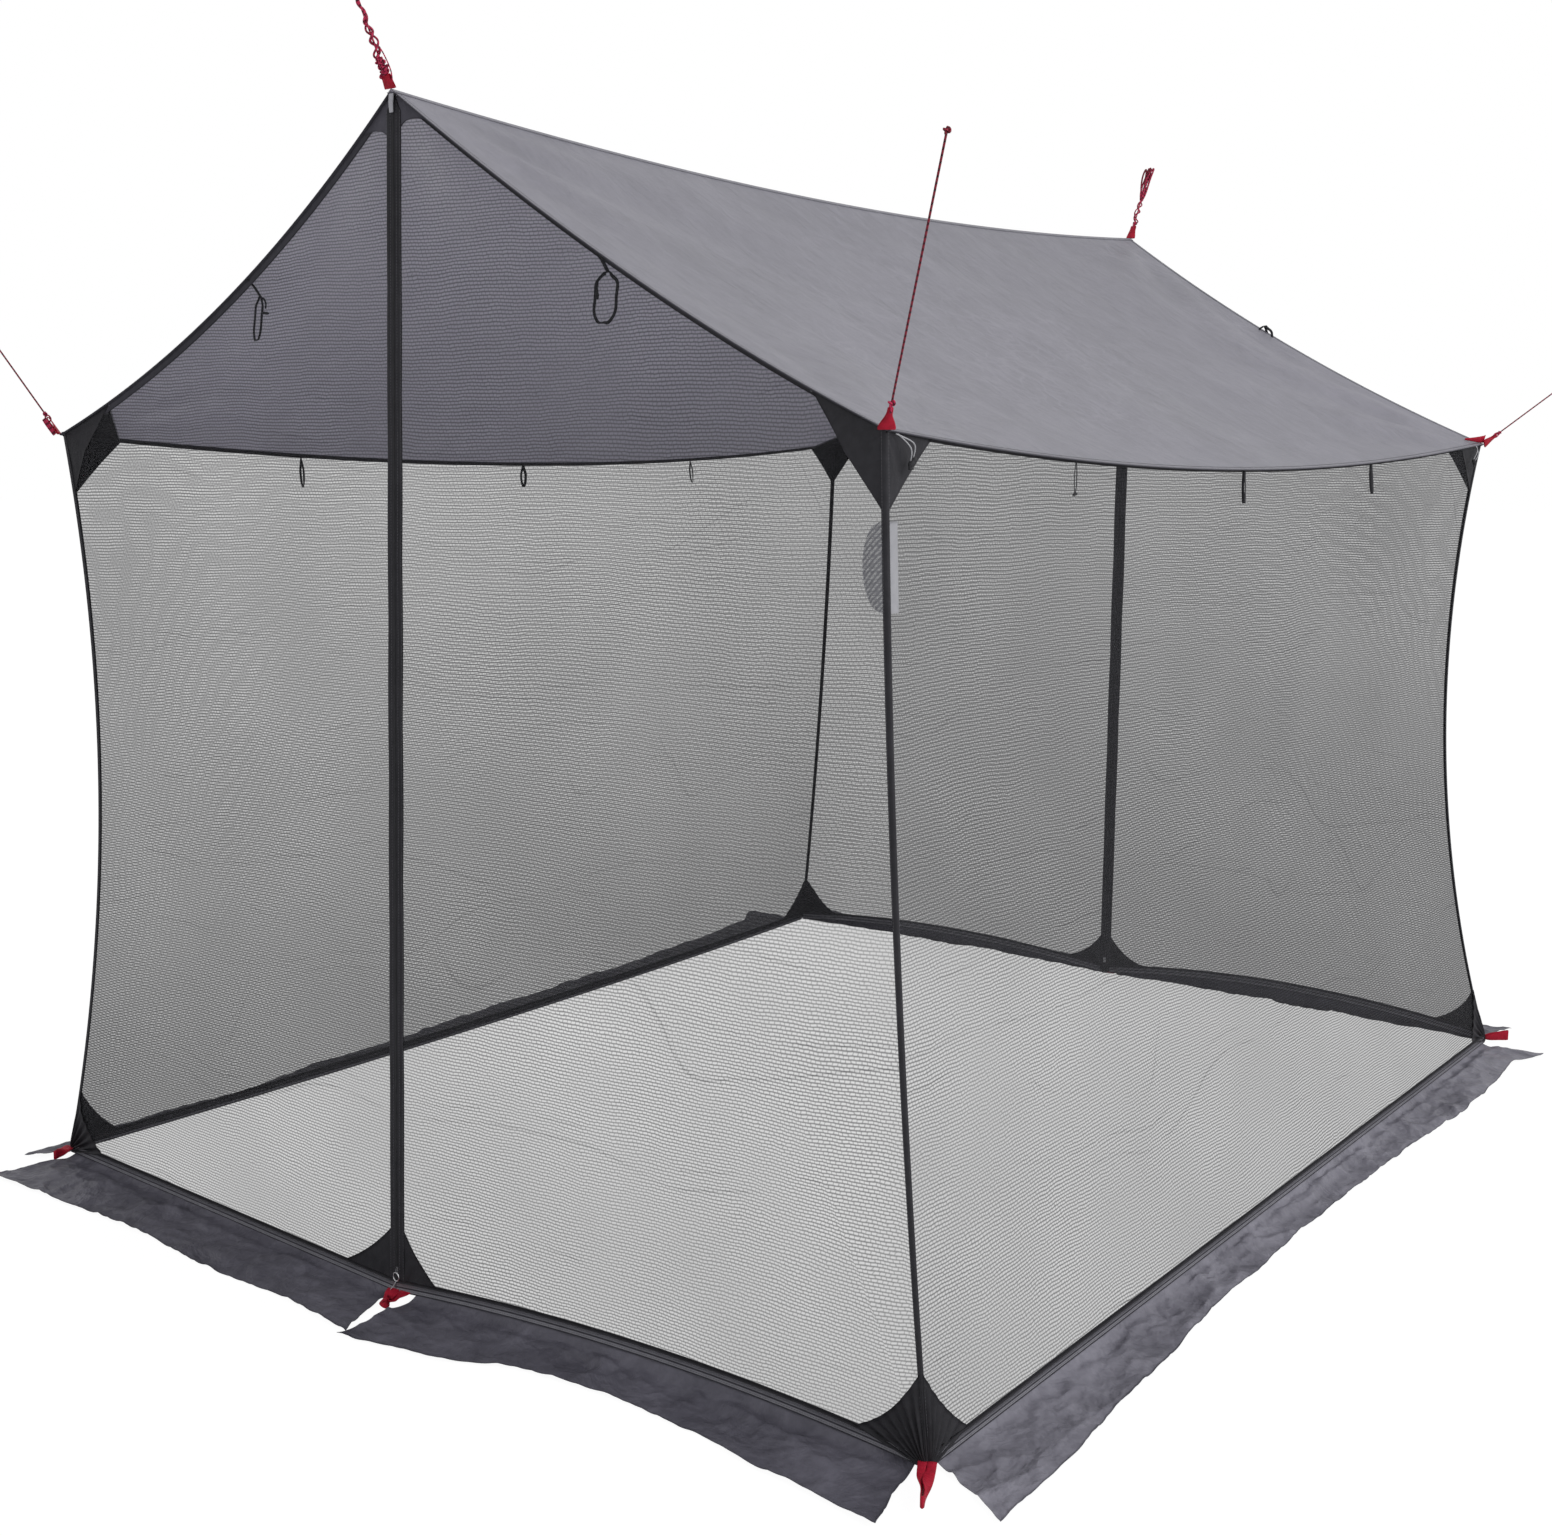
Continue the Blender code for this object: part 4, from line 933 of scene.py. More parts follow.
def net_finish(name, cover=0.592, rise=0.142, rear=0.0, pitch=0.0064, cell_length=0.0092, light=1.0):
    """Knitted rows: dark threads with staggered holes between them, drawn more open towards the top."""
    f = Finish(name, 0.85, Specular_IOR_Level=0.05)
    uv = f.add("UVMap", uv_map="metres").outputs[0]
    x, height, _ = f.split(uv)
    y = f.math("ADD", height, f.range(f.noise(uv, 3.0, 2.0), 0.3, 0.7, -0.006, 0.006))
    drift = f.range(f.noise(uv, 30.0, 2.0, 0.6), 0.3, 0.7, -0.35, 0.35)
    y = f.math("ADD", y, f.math("MULTIPLY", drift, 0.0030))
    row = f.math("MULTIPLY", y, 1.0 / pitch)
    band = f.math("FRACT", row)
    stagger = f.math("MULTIPLY", f.math("FLOOR", row), 0.38)
    along = f.math("MULTIPLY", x, 1.0 / cell_length)
    cell = f.math("FRACT", f.math("ADD", along, f.math("ADD", stagger, drift)))
    tall = f.math("SINE", f.math("MULTIPLY", band, math.pi))
    wide = f.range(f.math("SINE", f.math("MULTIPLY", cell, math.pi)), 0.0, 0.5, 0.35, 1.0)
    hole = f.math("MULTIPLY", tall, wide)
    strength = f.range(f.noise(uv, 2.6, 3.0, 0.6), 0.32, 0.68, 0.35, 0.62)
    alpha = f.math("ADD", cover, f.math("MULTIPLY", f.math("SUBTRACT", 0.5, hole), strength))
    cloud = f.noise(uv, 1.1, 3.0, 0.55)
    alpha = f.math("ADD", alpha, f.range(cloud, 0.3, 0.7, -0.03, 0.03))
    alpha = f.math("SUBTRACT", alpha, f.range(height, 0.25, 1.60, 0.0, rise))
    alpha = f.math("ADD", alpha, f.range(x, 2.4, 4.4, 0.0, rear))
    warp = f.noise(uv, 0.7, 2.0, 0.5, 0.4)
    for step, shift, width in ((2.3, 1.3, 0.0019), (1.1, 1.7, 0.0024), (3.7, 2.0, 0.0014)):
        field = f.math("FRACT", f.math("ADD", f.math("MULTIPLY", y, step), f.math("MULTIPLY", warp, shift)))
        field = f.math("ABSOLUTE", f.math("SUBTRACT", field, 0.5))
        shown = f.range(f.noise(uv, 1.5 + step, 2.0), 0.50, 0.60)
        fold = f.math("MULTIPLY", f.range(field, 0.0, width * step * 1.6, 1.0, 0.0), shown)
        alpha = f.math("ADD", alpha, f.math("MULTIPLY", fold, 0.11), clamp=True)
    dark, pale = [tuple(light * value for value in thread) for thread in NET_THREADS]
    colour = f.mix(f.range(hole, 0.0, 1.0), dark, pale)
    return f.finish(colour, alpha=alpha)


def skirt_finish(name, light, dark):
    """Coated cloth that was packed small: crisp, branching fold marks over soft waves, lighter on their crests and
    darker in their hollows: partly its own tone, partly painted highlight and shade.
    """
    f = Finish(name, 0.5)
    place = f.place()
    wave = f.noise(place, 7.0, 4.0, 0.55, 0.8)
    bent = f.wander(place, 9.0, 3.0, 0.07)
    facets = None
    for scale, weight in ((11.0, 1.0), (26.0, 0.45)):
        cells = f.add("TexVoronoi", {"Vector": bent, "Scale": scale}, feature="F1", distance="CHEBYCHEV")
        layer = f.math("MULTIPLY", cells.outputs["Distance"], weight)
        facets = layer if facets is None else f.math("ADD", facets, layer)
    # The tone follows the same waves and facets as the bumps: lighter where the folds rise and darker where they sink,
    # partly the cloth's own tone and partly painted highlight and shade.
    share = f.total(f.range(wave, 0.3, 0.7, 0.12, 0.68), f.range(facets, 0.2, 1.0, -0.08, 0.12),
                    f.range(f.noise(place, 70.0, 2.0), 0.35, 0.65, -0.08, 0.08), clamp=True)
    normal = f.bump(wave, 0.022, 0.8)
    normal = f.bump(facets, 0.012, 0.8, normal)
    return f.finish(f.mix(share, dark, light), normal)


def thread_finish(name, light, dark):
    """Spun thread or nylon: fine flecks, and a little wear that changes over a hand's width."""
    f = Finish(name, 0.6)
    fleck, wear = f.noise(f.place(), 900.0, 2.0), f.noise(f.place(), 14.0, 2.0)
    share = f.total(f.range(fleck, 0.3, 0.7, 0.1, 0.7), f.range(wear, 0.3, 0.7, -0.1, 0.3), clamp=True)
    return f.finish(f.mix(share, dark, light), f.bump(fleck, 0.0002, 0.6))


def metal_finish(name):
    """Cast zinc, plated: bright, with a fine grain and duller patches where fingers touch it."""
    f = Finish(name, 0.34, 1.0)
    grain, wear = f.noise(f.place(), 1400.0, 3.0), f.noise(f.place(), 160.0, 2.0)
    colour = f.mix(f.range(wear, 0.35, 0.65), (0.42, 0.42, 0.44), (0.66, 0.66, 0.68))
    return f.finish(colour, f.bump(grain, 0.0001, 0.4), f.range(wear, 0.3, 0.7, 0.26, 0.44))


ROOF_TOP = roof_finish("roof cloth outside", (0.268, 0.261, 0.297), (0.183, 0.180, 0.205), 0.0)
# The underside's two tones are painted far paler than the outside's, and over the heights below they turn lighter
# still towards the ridge: painted light for the light that comes through the roof.
UNDER_LIGHT, UNDER_DARK, UNDER_HEIGHTS = (0.640, 0.620, 0.722), (0.285, 0.276, 0.322), (1.50, 2.35)
ROOF_UNDER = roof_finish("roof cloth inside", UNDER_LIGHT, UNDER_DARK, 2.0, UNDER_HEIGHTS)
GLOW_THROUGH = {"Subsurface Weight": 0.8, "Subsurface Radius": (1.0, 1.0, 1.0), "Subsurface Scale": 0.006}
for socket, value in GLOW_THROUGH.items():
    ROOF_UNDER.node_tree.nodes["Principled BSDF"].inputs[socket].default_value = value
NET = net_finish("mosquito net")
TIGHT_NET = net_finish("mosquito net of the left wall", 0.572, 0.155, 0.075)
SIDE_NET = net_finish("mosquito net of the right wall", 0.617, 0.05)
BACK_NET = net_finish("mosquito net of the back wall", 0.592, 0.130)
BLACK = woven("black cloth", (0.032, 0.031, 0.036), (0.011, 0.011, 0.013), 0.0015, 0.7, 0.006, 22.0, 0.3)
TAPE = woven("grey tape", (0.262, 0.258, 0.284), (0.165, 0.162, 0.182), 0.0014, 0.75, 0.001, 40.0)
# The dark edge finish is the dark colour of the binding's lower side and of the left rafter strips; on the hem tape it
# makes lines of painted shade.
EDGE = woven("dark edge tape", (0.062, 0.060, 0.072), (0.034, 0.033, 0.040), 0.0014, 0.75, 0.001, 40.0)
PATCH = woven("dark lining", (0.085, 0.082, 0.100), (0.045, 0.043, 0.054), 0.0014, 0.75, 0.004, 30.0)
PALE = woven("pale tape", (0.46, 0.46, 0.49), (0.30, 0.30, 0.33), 0.0014, 0.7, 0.001, 40.0)
# The two skirt finishes are one cloth in two tones: the side skirt cloth is a lighter copy, painted as sunlit, for the
# right skirt that faces the lamp.
SKIRT = skirt_finish("skirt cloth", (0.150, 0.145, 0.177), (0.058, 0.056, 0.071))
SIDE_SKIRT = skirt_finish("side skirt cloth", (0.270, 0.262, 0.306), (0.135, 0.131, 0.157))
THREAD = thread_finish("dark grey thread", (0.135, 0.132, 0.145), (0.065, 0.064, 0.072))
print("cloth finishes made")

# %% [markdown]
# ## Roof
#
# Two slopes are sewn together over the ridge. Each is pulled from four points, so it dishes between
# them and small tension folds run in from the corners. The folds are part of the mesh, because they
# catch the light; they fade out before the edge, where the binding holds the cloth flat.

# %% Roof slopes
def slope_normal(side, u, v):
    step = 0.004
    a, b = max(u - step, 0.0), min(u + step, 1.0)
    c, d = max(v - step, 0.0), min(v + step, 1.0)
    along = roof_point(side, b, v) - roof_point(side, a, v)
    down = roof_point(side, u, d) - roof_point(side, u, c)
    normal = along.cross(down)
    return normal.normalized() if normal.z > 0.0 else -normal.normalized()


def folds_from(point, corner, count, depth, reach):
    """Tension folds that fan out of a corner and die away."""
    away = Vector(point) - Vector(corner)
    far = away.length
    if far < 0.10 or far > reach:
        return 0.0
    fan = math.atan2(away.y, math.hypot(away.x, away.z))
    fade = ease((far - 0.10) / 0.22) * (1.0 - far / reach) ** 1.5
    return depth * fade * math.sin(fan * count + 1.2 * crease(point, 1.6, 3))


def roof_rows(side, u_steps, v_steps):
    rows = []
    for u in spread(u_steps):
        row = []
        for v in spread(v_steps, 0.004, 1.0):
            p = roof_point(side, u, v)
            hold = ease(min(u, 1.0 - u) / 0.06) * ease((1.0 - v) / 0.10) * ease(v / 0.06)
            rise = 0.0
            for corner_u, corner_v, count, depth, reach in (
                    (0.0, 0.0, 11.0, 0.010, 1.3), (1.0, 0.0, 11.0, 0.010, 1.3),
                    (0.0, 1.0, 10.0, 0.009, 1.2), (1.0, 1.0, 10.0, 0.012, 1.3)):
                rise += folds_from(p, roof_point(side, corner_u, corner_v), count, depth, reach)
            rise += 0.0060 * crease(p, 2.6, 1) + 0.0030 * crease(p, 6.5, 2)
            row.append(p + slope_normal(side, u, v) * rise * hold)
        rows.append(row)
    return rows


ROOF_STEPS = (170, 72)
for label, side in SIDES.items():
    rows = roof_rows(side, *ROOF_STEPS)
    slope = cloth("roof_cloth_" + label, rows, (side, 0.0, 1.0), [ROOF_TOP, ROOF_UNDER], 0.0012)
    declare_cloth(slope, "tent", ["roof_slope_" + label], "roof_cloth", "hung", rows,
                  ["guy_tab_front_" + label, "guy_tab_back_" + label])
print("two roof slopes")

# %% [markdown]
# The raw edge of a tarp is folded into a bias binding: a tape that wraps over the edge and is sewn
# through with two rows of stitches. It carries the pull from corner to corner.

# %% Edge binding
def folded_tape(name, edge, inward, normals, width, materials, up=0.0006, down=0.0020, skin=0.0006):
    """A tape folded over an edge, as one closed strip with both flaps."""
    profile = [(width, up), (0.0006, up), (-0.0008, (up - down) / 2.0), (0.0006, -down), (width, -down),
               (width, -down + skin), (0.0012, -down + skin), (0.0012, up - skin), (width, up - skin)]
    points, maps, faces = [], [], []
    along, size = 0.0, len(profile)
    for i, p in enumerate(edge):
        along += (p - edge[i - 1]).length if i else 0.0
        for k, (a, b) in enumerate(profile):
            points.append(p + inward[i] * a + normals[i] * b)
            maps.append((along, a if k < 2 or k > 6 else -a))
    for i in range(len(edge) - 1):
        for k in range(size):
            n = (k + 1) % size
            faces.append((i * size + k, i * size + n, (i + 1) * size + n, (i + 1) * size + k))
    indices = [0 if i % size in (0, 7) else 1 for i in range(len(faces))] + [1, 1]
    faces.append(tuple(reversed(range(size))))
    faces.append(tuple(range((len(edge) - 1) * size, len(edge) * size)))
    return point_outwards(finish_mesh(name, points, faces, maps, materials, indices))


def slope_edge(side, kind):
    """Edge points with the way into the cloth and its normal."""
    edge, inward, normals = [], [], []
    for t in spread(96):
        down = lerp(0.006, 1.0, t)
        u, v = {"front": (0.0, down), "back": (1.0, down), "eave": (t, 1.0)}[kind]
        p, normal = roof_point(side, u, v), slope_normal(side, u, v)
        if kind == "eave":
            along = roof_point(side, min(u + 0.004, 1.0), v) - roof_point(side, max(u - 0.004, 0.0), v)
        else:
            along = roof_point(side, u, min(v + 0.004, 1.0)) - roof_point(side, u, v - 0.004)
        way = normal.cross(along).normalized()
        middle = roof_point(side, 0.5, 0.5) - p
        inward.append(way if way.dot(middle) > 0.0 else -way)
        edge.append(p)
        normals.append(normal)
    return edge, inward, normals


stitch_rows = {"tent": []}


def add_stitches(body, path, normals):
    stitch_rows.setdefault(body, []).append(([Vector(p) for p in path], [Vector(n) for n in normals]))


BINDING_WIDTH = 0.014
for label, side in SIDES.items():
    strips = []
    for kind in ("front", "eave", "back"):
        edge, inward, normals = slope_edge(side, kind)
        # The binding's upper face takes the roof cloth's finish. Its rolled edge and lower flap take the dark edge
        # finish, which shows as a dark line under the roof's edge.
        strips.append(folded_tape("strip", edge, inward, normals, BINDING_WIDTH, [ROOF_TOP, EDGE]))
        for inset in (0.0028, 0.0112):
            line = [p + w * inset + n * 0.0007 for p, w, n in zip(edge, inward, normals)]
            add_stitches("tent", line, normals)
    binding = merge("roof_edge_binding_" + label, strips)
    settle(binding, "tent", "grey_tape", "roof_binding_" + label)

ridge = []
for u in spread(96):
    row = []
    for side, v in ((-1.0, 0.0094), (-1.0, 0.0045), (1.0, 0.0), (1.0, 0.0045), (1.0, 0.0094)):
        row.append(roof_point(side, u, v) + slope_normal(side, u, max(v, 0.01)) * 0.0003)
    ridge.append(row)
tape = cloth("ridge_seam", ridge, (0.0, 0.0, 1.0), [ROOF_TOP, ROOF_UNDER], 0.0018, offset=0.0012)
settle(tape, "tent", "roof_cloth", "ridge_tape")
for j in (0, 4):
    add_stitches("tent", [row[j] * 0.9 + row[2] * 0.1 + UP * 0.0014 for row in ridge], [UP] * len(ridge))
print("bindings and ridge seam")

# %% [markdown]
# ## Net walls
#
# A gable net is one cloth from the corner seam to the zip. It is sewn flat, so it carries a few long,
# shallow waves where it is not pulled tight. The part beside the zip follows the door and the outer
# part follows the tent, and the cloth turns smoothly between them along the line where it folds.

# %% Gable nets
HEM_LIFT = {"front_left": 0.0, "front_right": 0.022, "back_left": 0.038, "back_right": 0.050}
GABLE_WAVE, SIDE_WAVE = 0.012, 0.014
HEM_BOW = {"front_left": 0.0, "front_right": 0.018, "back_left": 0.004, "back_right": 0.010}


def panel_point(key, x, z):
    """Point of a door panel: its plane, bowed inwards near the hem where the wind or the pull takes it."""
    end, side = signs(key)
    p = door_point(side, end, x, z)
    share = min(max(x / DOOR_HALF, 0.0), 1.0)
    fade = math.exp(-(max(z - HEM_HEIGHT, 0.0) / 0.45) ** 2)
    p.y -= end * HEM_BOW[key] * arch(share) * fade
    return p


def hem_height(key, x):
    return HEM_HEIGHT + HEM_LIFT[key] * arch(min(max(x / DOOR_HALF, 0.0), 1.0))


def gable_row(key, t, outer_steps, inner_steps, least=0.004):
    end, side = signs(key)
    hinge, outer = hinge_point(side, end, t), gable_edge(side, end, t)
    row = [lerp(outer, hinge, s) for s in spread(outer_steps)[:-1]]
    reach = DOOR_HALF * t
    for s in spread(inner_steps):
        x = lerp(reach, min(least, reach), s)
        z = hinge.z + HEM_LIFT[key] * arch(x / max(reach, 1e-6)) * t ** 7
        row.append(panel_point(key, x, z))
    return row


def hinge_frame(key):
    """Middle of the fold line and the way from it towards the zip."""
    end, side = signs(key)
    line = (bottom_corner(side, end) - gable_top(1.0, end, 0.0)).normalized()
    way = door_normal(side, end).cross(line).normalized()
    way = way if way.x * side < 0.0 else -way
    return hinge_point(side, end, 0.5) + SHIFT, way


def bend_at_fold(piece, key, width=0.02):
    middle, way = hinge_frame(key)
    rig.blend(piece, "tent", node_name(key, "door"), tuple(middle - way * width),
             tuple(middle + way * width))


for key, end, side in corners():
    rows = [gable_row(key, t, 18, 26) for t in spread(84, 0.006, 1.0)]
    for i, row in enumerate(rows):
        for j, p in enumerate(row):
            hold = ease(i / 8.0) * ease((len(rows) - 1 - i) / 6.0)
            hold = hold * ease(j / 4.0) * ease((len(row) - 1 - j) / 5.0)
            wave = crease((p.x, p.z * 0.6, end + side), 2.2, 5)
            row[j] = p + Vector((0.0, end, 0.0)) * GABLE_WAVE * hold * wave
    maps = [(p.x + 3.0, p.z) for row in rows for p in row]
    net = cloth("gable_net_" + key, rows, (0.0, end, 0.0), [NET if end < 0.0 else BACK_NET], maps=maps)
    nodes = [node_name(key, "net"), node_name(key, "door_net")]
    declare_cloth(net, None, nodes, "mosquito_net", "stretched", rows, columns=(-1,))
    bend_at_fold(net, key)
print("four gable nets")

# %% Side nets
for side_label, side in SIDES.items():
    rows = []
    for v in spread(64):
        row = []
        for u in spread(110):
            p = side_wall(side, u, v)
            hold = ease(min(u, 1.0 - u) / 0.05) * ease(min(v, 1.0 - v) / 0.06)
            wave = crease((side * 3.0, p.y * 0.8, p.z * 0.6), 1.9, 8)
            row.append(p + Vector((side, 0.0, 0.0)) * SIDE_WAVE * hold * wave)
        rows.append(row)
    maps = [(p.y + 3.0, p.z) for row in rows for p in row]
    finish = TIGHT_NET if side < 0.0 else SIDE_NET
    net = cloth("wall_net_" + side_label, rows, (side, 0.0, 0.0), [finish], maps=maps)
    declare_cloth(net, "tent", ["side_net_" + side_label], "mosquito_net", "stretched", rows)
print("two side nets")

# %% [markdown]
# ## Corners
#
# A corner carries the whole pull between a guy line and a stake, so it is a double seam of black
# cloth with a gusset at each end. A gusset's edge is cut on a curve: that spreads the pull into the
# net instead of tearing it at one point. The cloth gathers into pleats where it meets the stake.

# %% Corner gussets
def on_gable(side, end, x, z):
    """Point of a gable wall at a distance x from the middle and a height z."""
    low, high = 0.0, 1.0
    for _ in range(26):
        t = (low + high) / 2.0
        outer, hinge = gable_edge(side, end, t), hinge_point(side, end, t)
        share = (abs(outer.x) - x) / max(abs(outer.x) - abs(hinge.x), 1e-6)
        row = lerp(outer, hinge, share)
        if row.z > z:
            low = t
        else:
            high = t
    if x < DOOR_HALF * t:
        return panel_point(key_of(side, end), x, z)
    return Vector((side * x, row.y, z))


def on_side(side, y, z):
    """Point of a side wall at a place y along it and a height z."""
    u, v = y / BASE_LENGTH + 0.5, z / EAVE_HEIGHT
    for _ in range(6):
        p = side_wall(side, u, v)
        u = min(max(u + (y - p.y) / BASE_LENGTH, 0.0), 1.0)
        v = min(max(v + (z - p.z) / EAVE_HEIGHT, -0.1), 1.0)
    return Vector((p.x, y, z))


def fan_gusset(origin, one, two, curve, surface, outward, pleats=0, depth=0.0, lift=0.0014, steps=(48, 12)):
    """A gusset that fans out of a corner: flat points one and two end its curved edge."""
    origin, one, two = Vector(origin), Vector(one), Vector(two)
    rows = []
    for r in spread(steps[1], 0.04, 1.0):
        row = []
        for s in spread(steps[0]):
            rim = lerp(one, two, s) + (origin - (one + two) / 2.0) * curve * arch(s)
            flat = lerp(origin, rim, r)
            fade = ease(r / 0.22) * (1.0 - 0.75 * ease((r - 0.55) / 0.45))
            fold = depth * fade * math.sin(2.0 * math.pi * pleats * s)
            row.append(surface(flat.x, flat.y) + Vector(outward) * (lift + max(depth, 0.0) + fold))
        rows.append(row)
    return cloth("gusset", rows, outward, [BLACK], 0.0016)


SEAM_WIDTH = (0.0042, 0.0068)
GUSSETS = {"rafter": 0.180, "eave": 0.145, "down": 0.134, "up": 0.150, "gable hem": 0.145,
           "side hem": 0.125}


def on_x(p):
    """A point as it lies on a gable: across and up."""
    return abs(p.x), p.z


def on_y(p):
    """A point as it lies on a side wall: along and up."""
    return abs(p.y), p.z


def seam_band(side, end):
    """A folded binding that wraps the corner seam, narrower at the ground."""
    out = Vector((side, end, 0.0)).normalized()
    rows = []
    for v in spread(96):
        p, wide = seam_point(side, end, v), lerp(*SEAM_WIDTH, v)
        by_gable, by_side = Vector((-side, 0.0, 0.0)), Vector((0.0, -end, 0.0))
        rows.append([p + by_gable * wide + Vector((0.0, end, 0.0)) * 0.0030,
                     p + by_gable * wide * 0.5 + Vector((0.0, end, 0.0)) * 0.0042,
                     p + out * 0.0050,
                     p + by_side * wide * 0.5 + Vector((side, 0.0, 0.0)) * 0.0042,
                     p + by_side * wide + Vector((side, 0.0, 0.0)) * 0.0030])
    return rows


for key, end, side in corners():
    stake, top = bottom_corner(side, end), top_corner(side, end)
    to_gable = lambda x, z: on_gable(side, end, x, z)
    to_side = lambda y, z: on_side(side, end * y, z)
    slope = (roof_point(1.0, 0.0, 1.0) - roof_point(1.0, 0.0, 0.0)).length
    high = gable_top(side, end, 1.0 - GUSSETS["rafter"] / slope)
    low_v, up_v = 1.0 - GUSSETS["down"] / EAVE_HEIGHT, GUSSETS["up"] / EAVE_HEIGHT
    down, up = seam_point(side, end, low_v), seam_point(side, end, up_v)
    far = side_top(side, end * (BASE_LENGTH / 2.0 - GUSSETS["eave"]))
    front = (0.0, end, 0.0)
    flank = (side, 0.0, 0.0)
    hem_x, hem_y = DOOR_HALF - GUSSETS["gable hem"], BASE_LENGTH / 2.0 - GUSSETS["side hem"]
    parts = [
        fan_gusset(on_x(top), on_x(high), on_x(down), 0.03, to_gable, front, 3, 0.0007),
        fan_gusset(on_y(top), on_y(far), on_y(down), 0.03, to_side, flank, 3, 0.0007),
        fan_gusset(on_x(stake), (hem_x, hem_height(key, hem_x) + 0.019), on_x(up), 0.13, to_gable, front, 7,
                   0.0044),
        fan_gusset(on_y(stake), (hem_y, HEM_HEIGHT + 0.021), on_y(up), 0.09, to_side, flank, 6, 0.0044)]
    from_end = lambda x: x / BASE_LENGTH if end < 0.0 else 1.0 - x / BASE_LENGTH
    under = lambda x, y: roof_point(side, from_end(x), 1.0 - y / slope)
    below = -slope_normal(side, 0.02 if end < 0.0 else 0.98, 0.95)
    parts.append(fan_gusset((0.004, 0.004), (0.004, GUSSETS["rafter"]), (GUSSETS["eave"], 0.004), 0.0,
                            under, below, lift=0.0033))
    seam = [under(lerp(0.006, GUSSETS["eave"], t), lerp(GUSSETS["rafter"], 0.006, t)) for t in spread(24)]
    parts.append(tube("edge", [p + below * 0.0036 + SHIFT for p in seam], 0.0012, TAPE, 6))
    rows = seam_band(side, end)
    parts.append(cloth("band", rows, tuple(Vector((side, end, 0.0))), [BLACK], 0.0016))
    for column, normal in ((0, Vector(front)), (4, Vector(flank))):
        line = [row[column] * 0.75 + row[2] * 0.25 + normal * 0.0008 for row in rows]
        add_stitches("tent", line, [normal] * len(rows))
    corner = merge("corner_seam_" + key, parts)
    settle(corner, "tent", "black_cloth", "corner_" + key)
print("four corners")

# %% [markdown]
# ## Hems
#
# The lower edge of a wall is closed with a grey tape, sewn through twice, under a narrow black
# binding that holds the net. The doors carry their own piece of both, so they can swing.

# %% Hem tapes
def strip_rows(points, low, high):
    return [[p + UP * lerp(low, high, s) for s in spread(2)] for p in points]


# The two dark edge strips of the hem are painted shade. One line crosses the middle of the grey tape, for the shaded
# gap between two runs of tape. One lies at its foot, for the shadow where it meets the skirt.
HEM_STRIPS = (  # low edge, high edge, thickness, finish
    (-0.0015, 0.0150, 0.0048, TAPE), (0.0145, 0.0215, 0.0040, BLACK),
    (0.0056, 0.0086, 0.0052, EDGE), (-0.0036, -0.0008, 0.0052, EDGE))
HEM_BEHIND = 0.0006  # how far a strip reaches behind the net
HEM_STITCHES = (0.0022, 0.0120)


def hem_strips(name, points, outward, body):
    """Grey tape with two lines of painted shade on it, sewn through twice, and a narrow black binding above it."""
    strips = [cloth("strip", strip_rows(points, low, high), outward, [finish], thick,
                    offset=thick - HEM_BEHIND)
              for low, high, thick, finish in HEM_STRIPS]
    settle(merge(name, strips), body, "grey_tape")
    normal = Vector(outward)
    for height in HEM_STITCHES:
        add_stitches(body, [p + UP * height + normal * 0.0043 for p in points], [normal] * len(points))


for side_label, side in SIDES.items():
    points = [side_hem(side, u) for u in spread(150, 0.002, 0.998)]
    hem_strips("hem_side_" + side_label, points, (side, 0.0, 0.0), "tent")
for key, end, side in corners():
    points = [panel_point(key, x, hem_height(key, x)) for x in spread(90, 0.0006, DOOR_HALF - 0.003)]
    hem_strips("hem_door_" + key, points, (0.0, end, 0.0), node_name(key, "door"))
print("hems taped")

# %% [markdown]
# ## Zip tapes, gussets and apex patches
#
# A zip tape is a herringbone ribbon with a fat sewn edge beside the coil. At the foot each tape widens
# into a curved gusset that takes the strain of the stake loop. A patch at the apex does the same for
# the guy line.

# %% Zip tapes
def door_slope():
    return (gable_top(1.0, -1.0, 0.0).z - HEM_HEIGHT) / DOOR_HALF


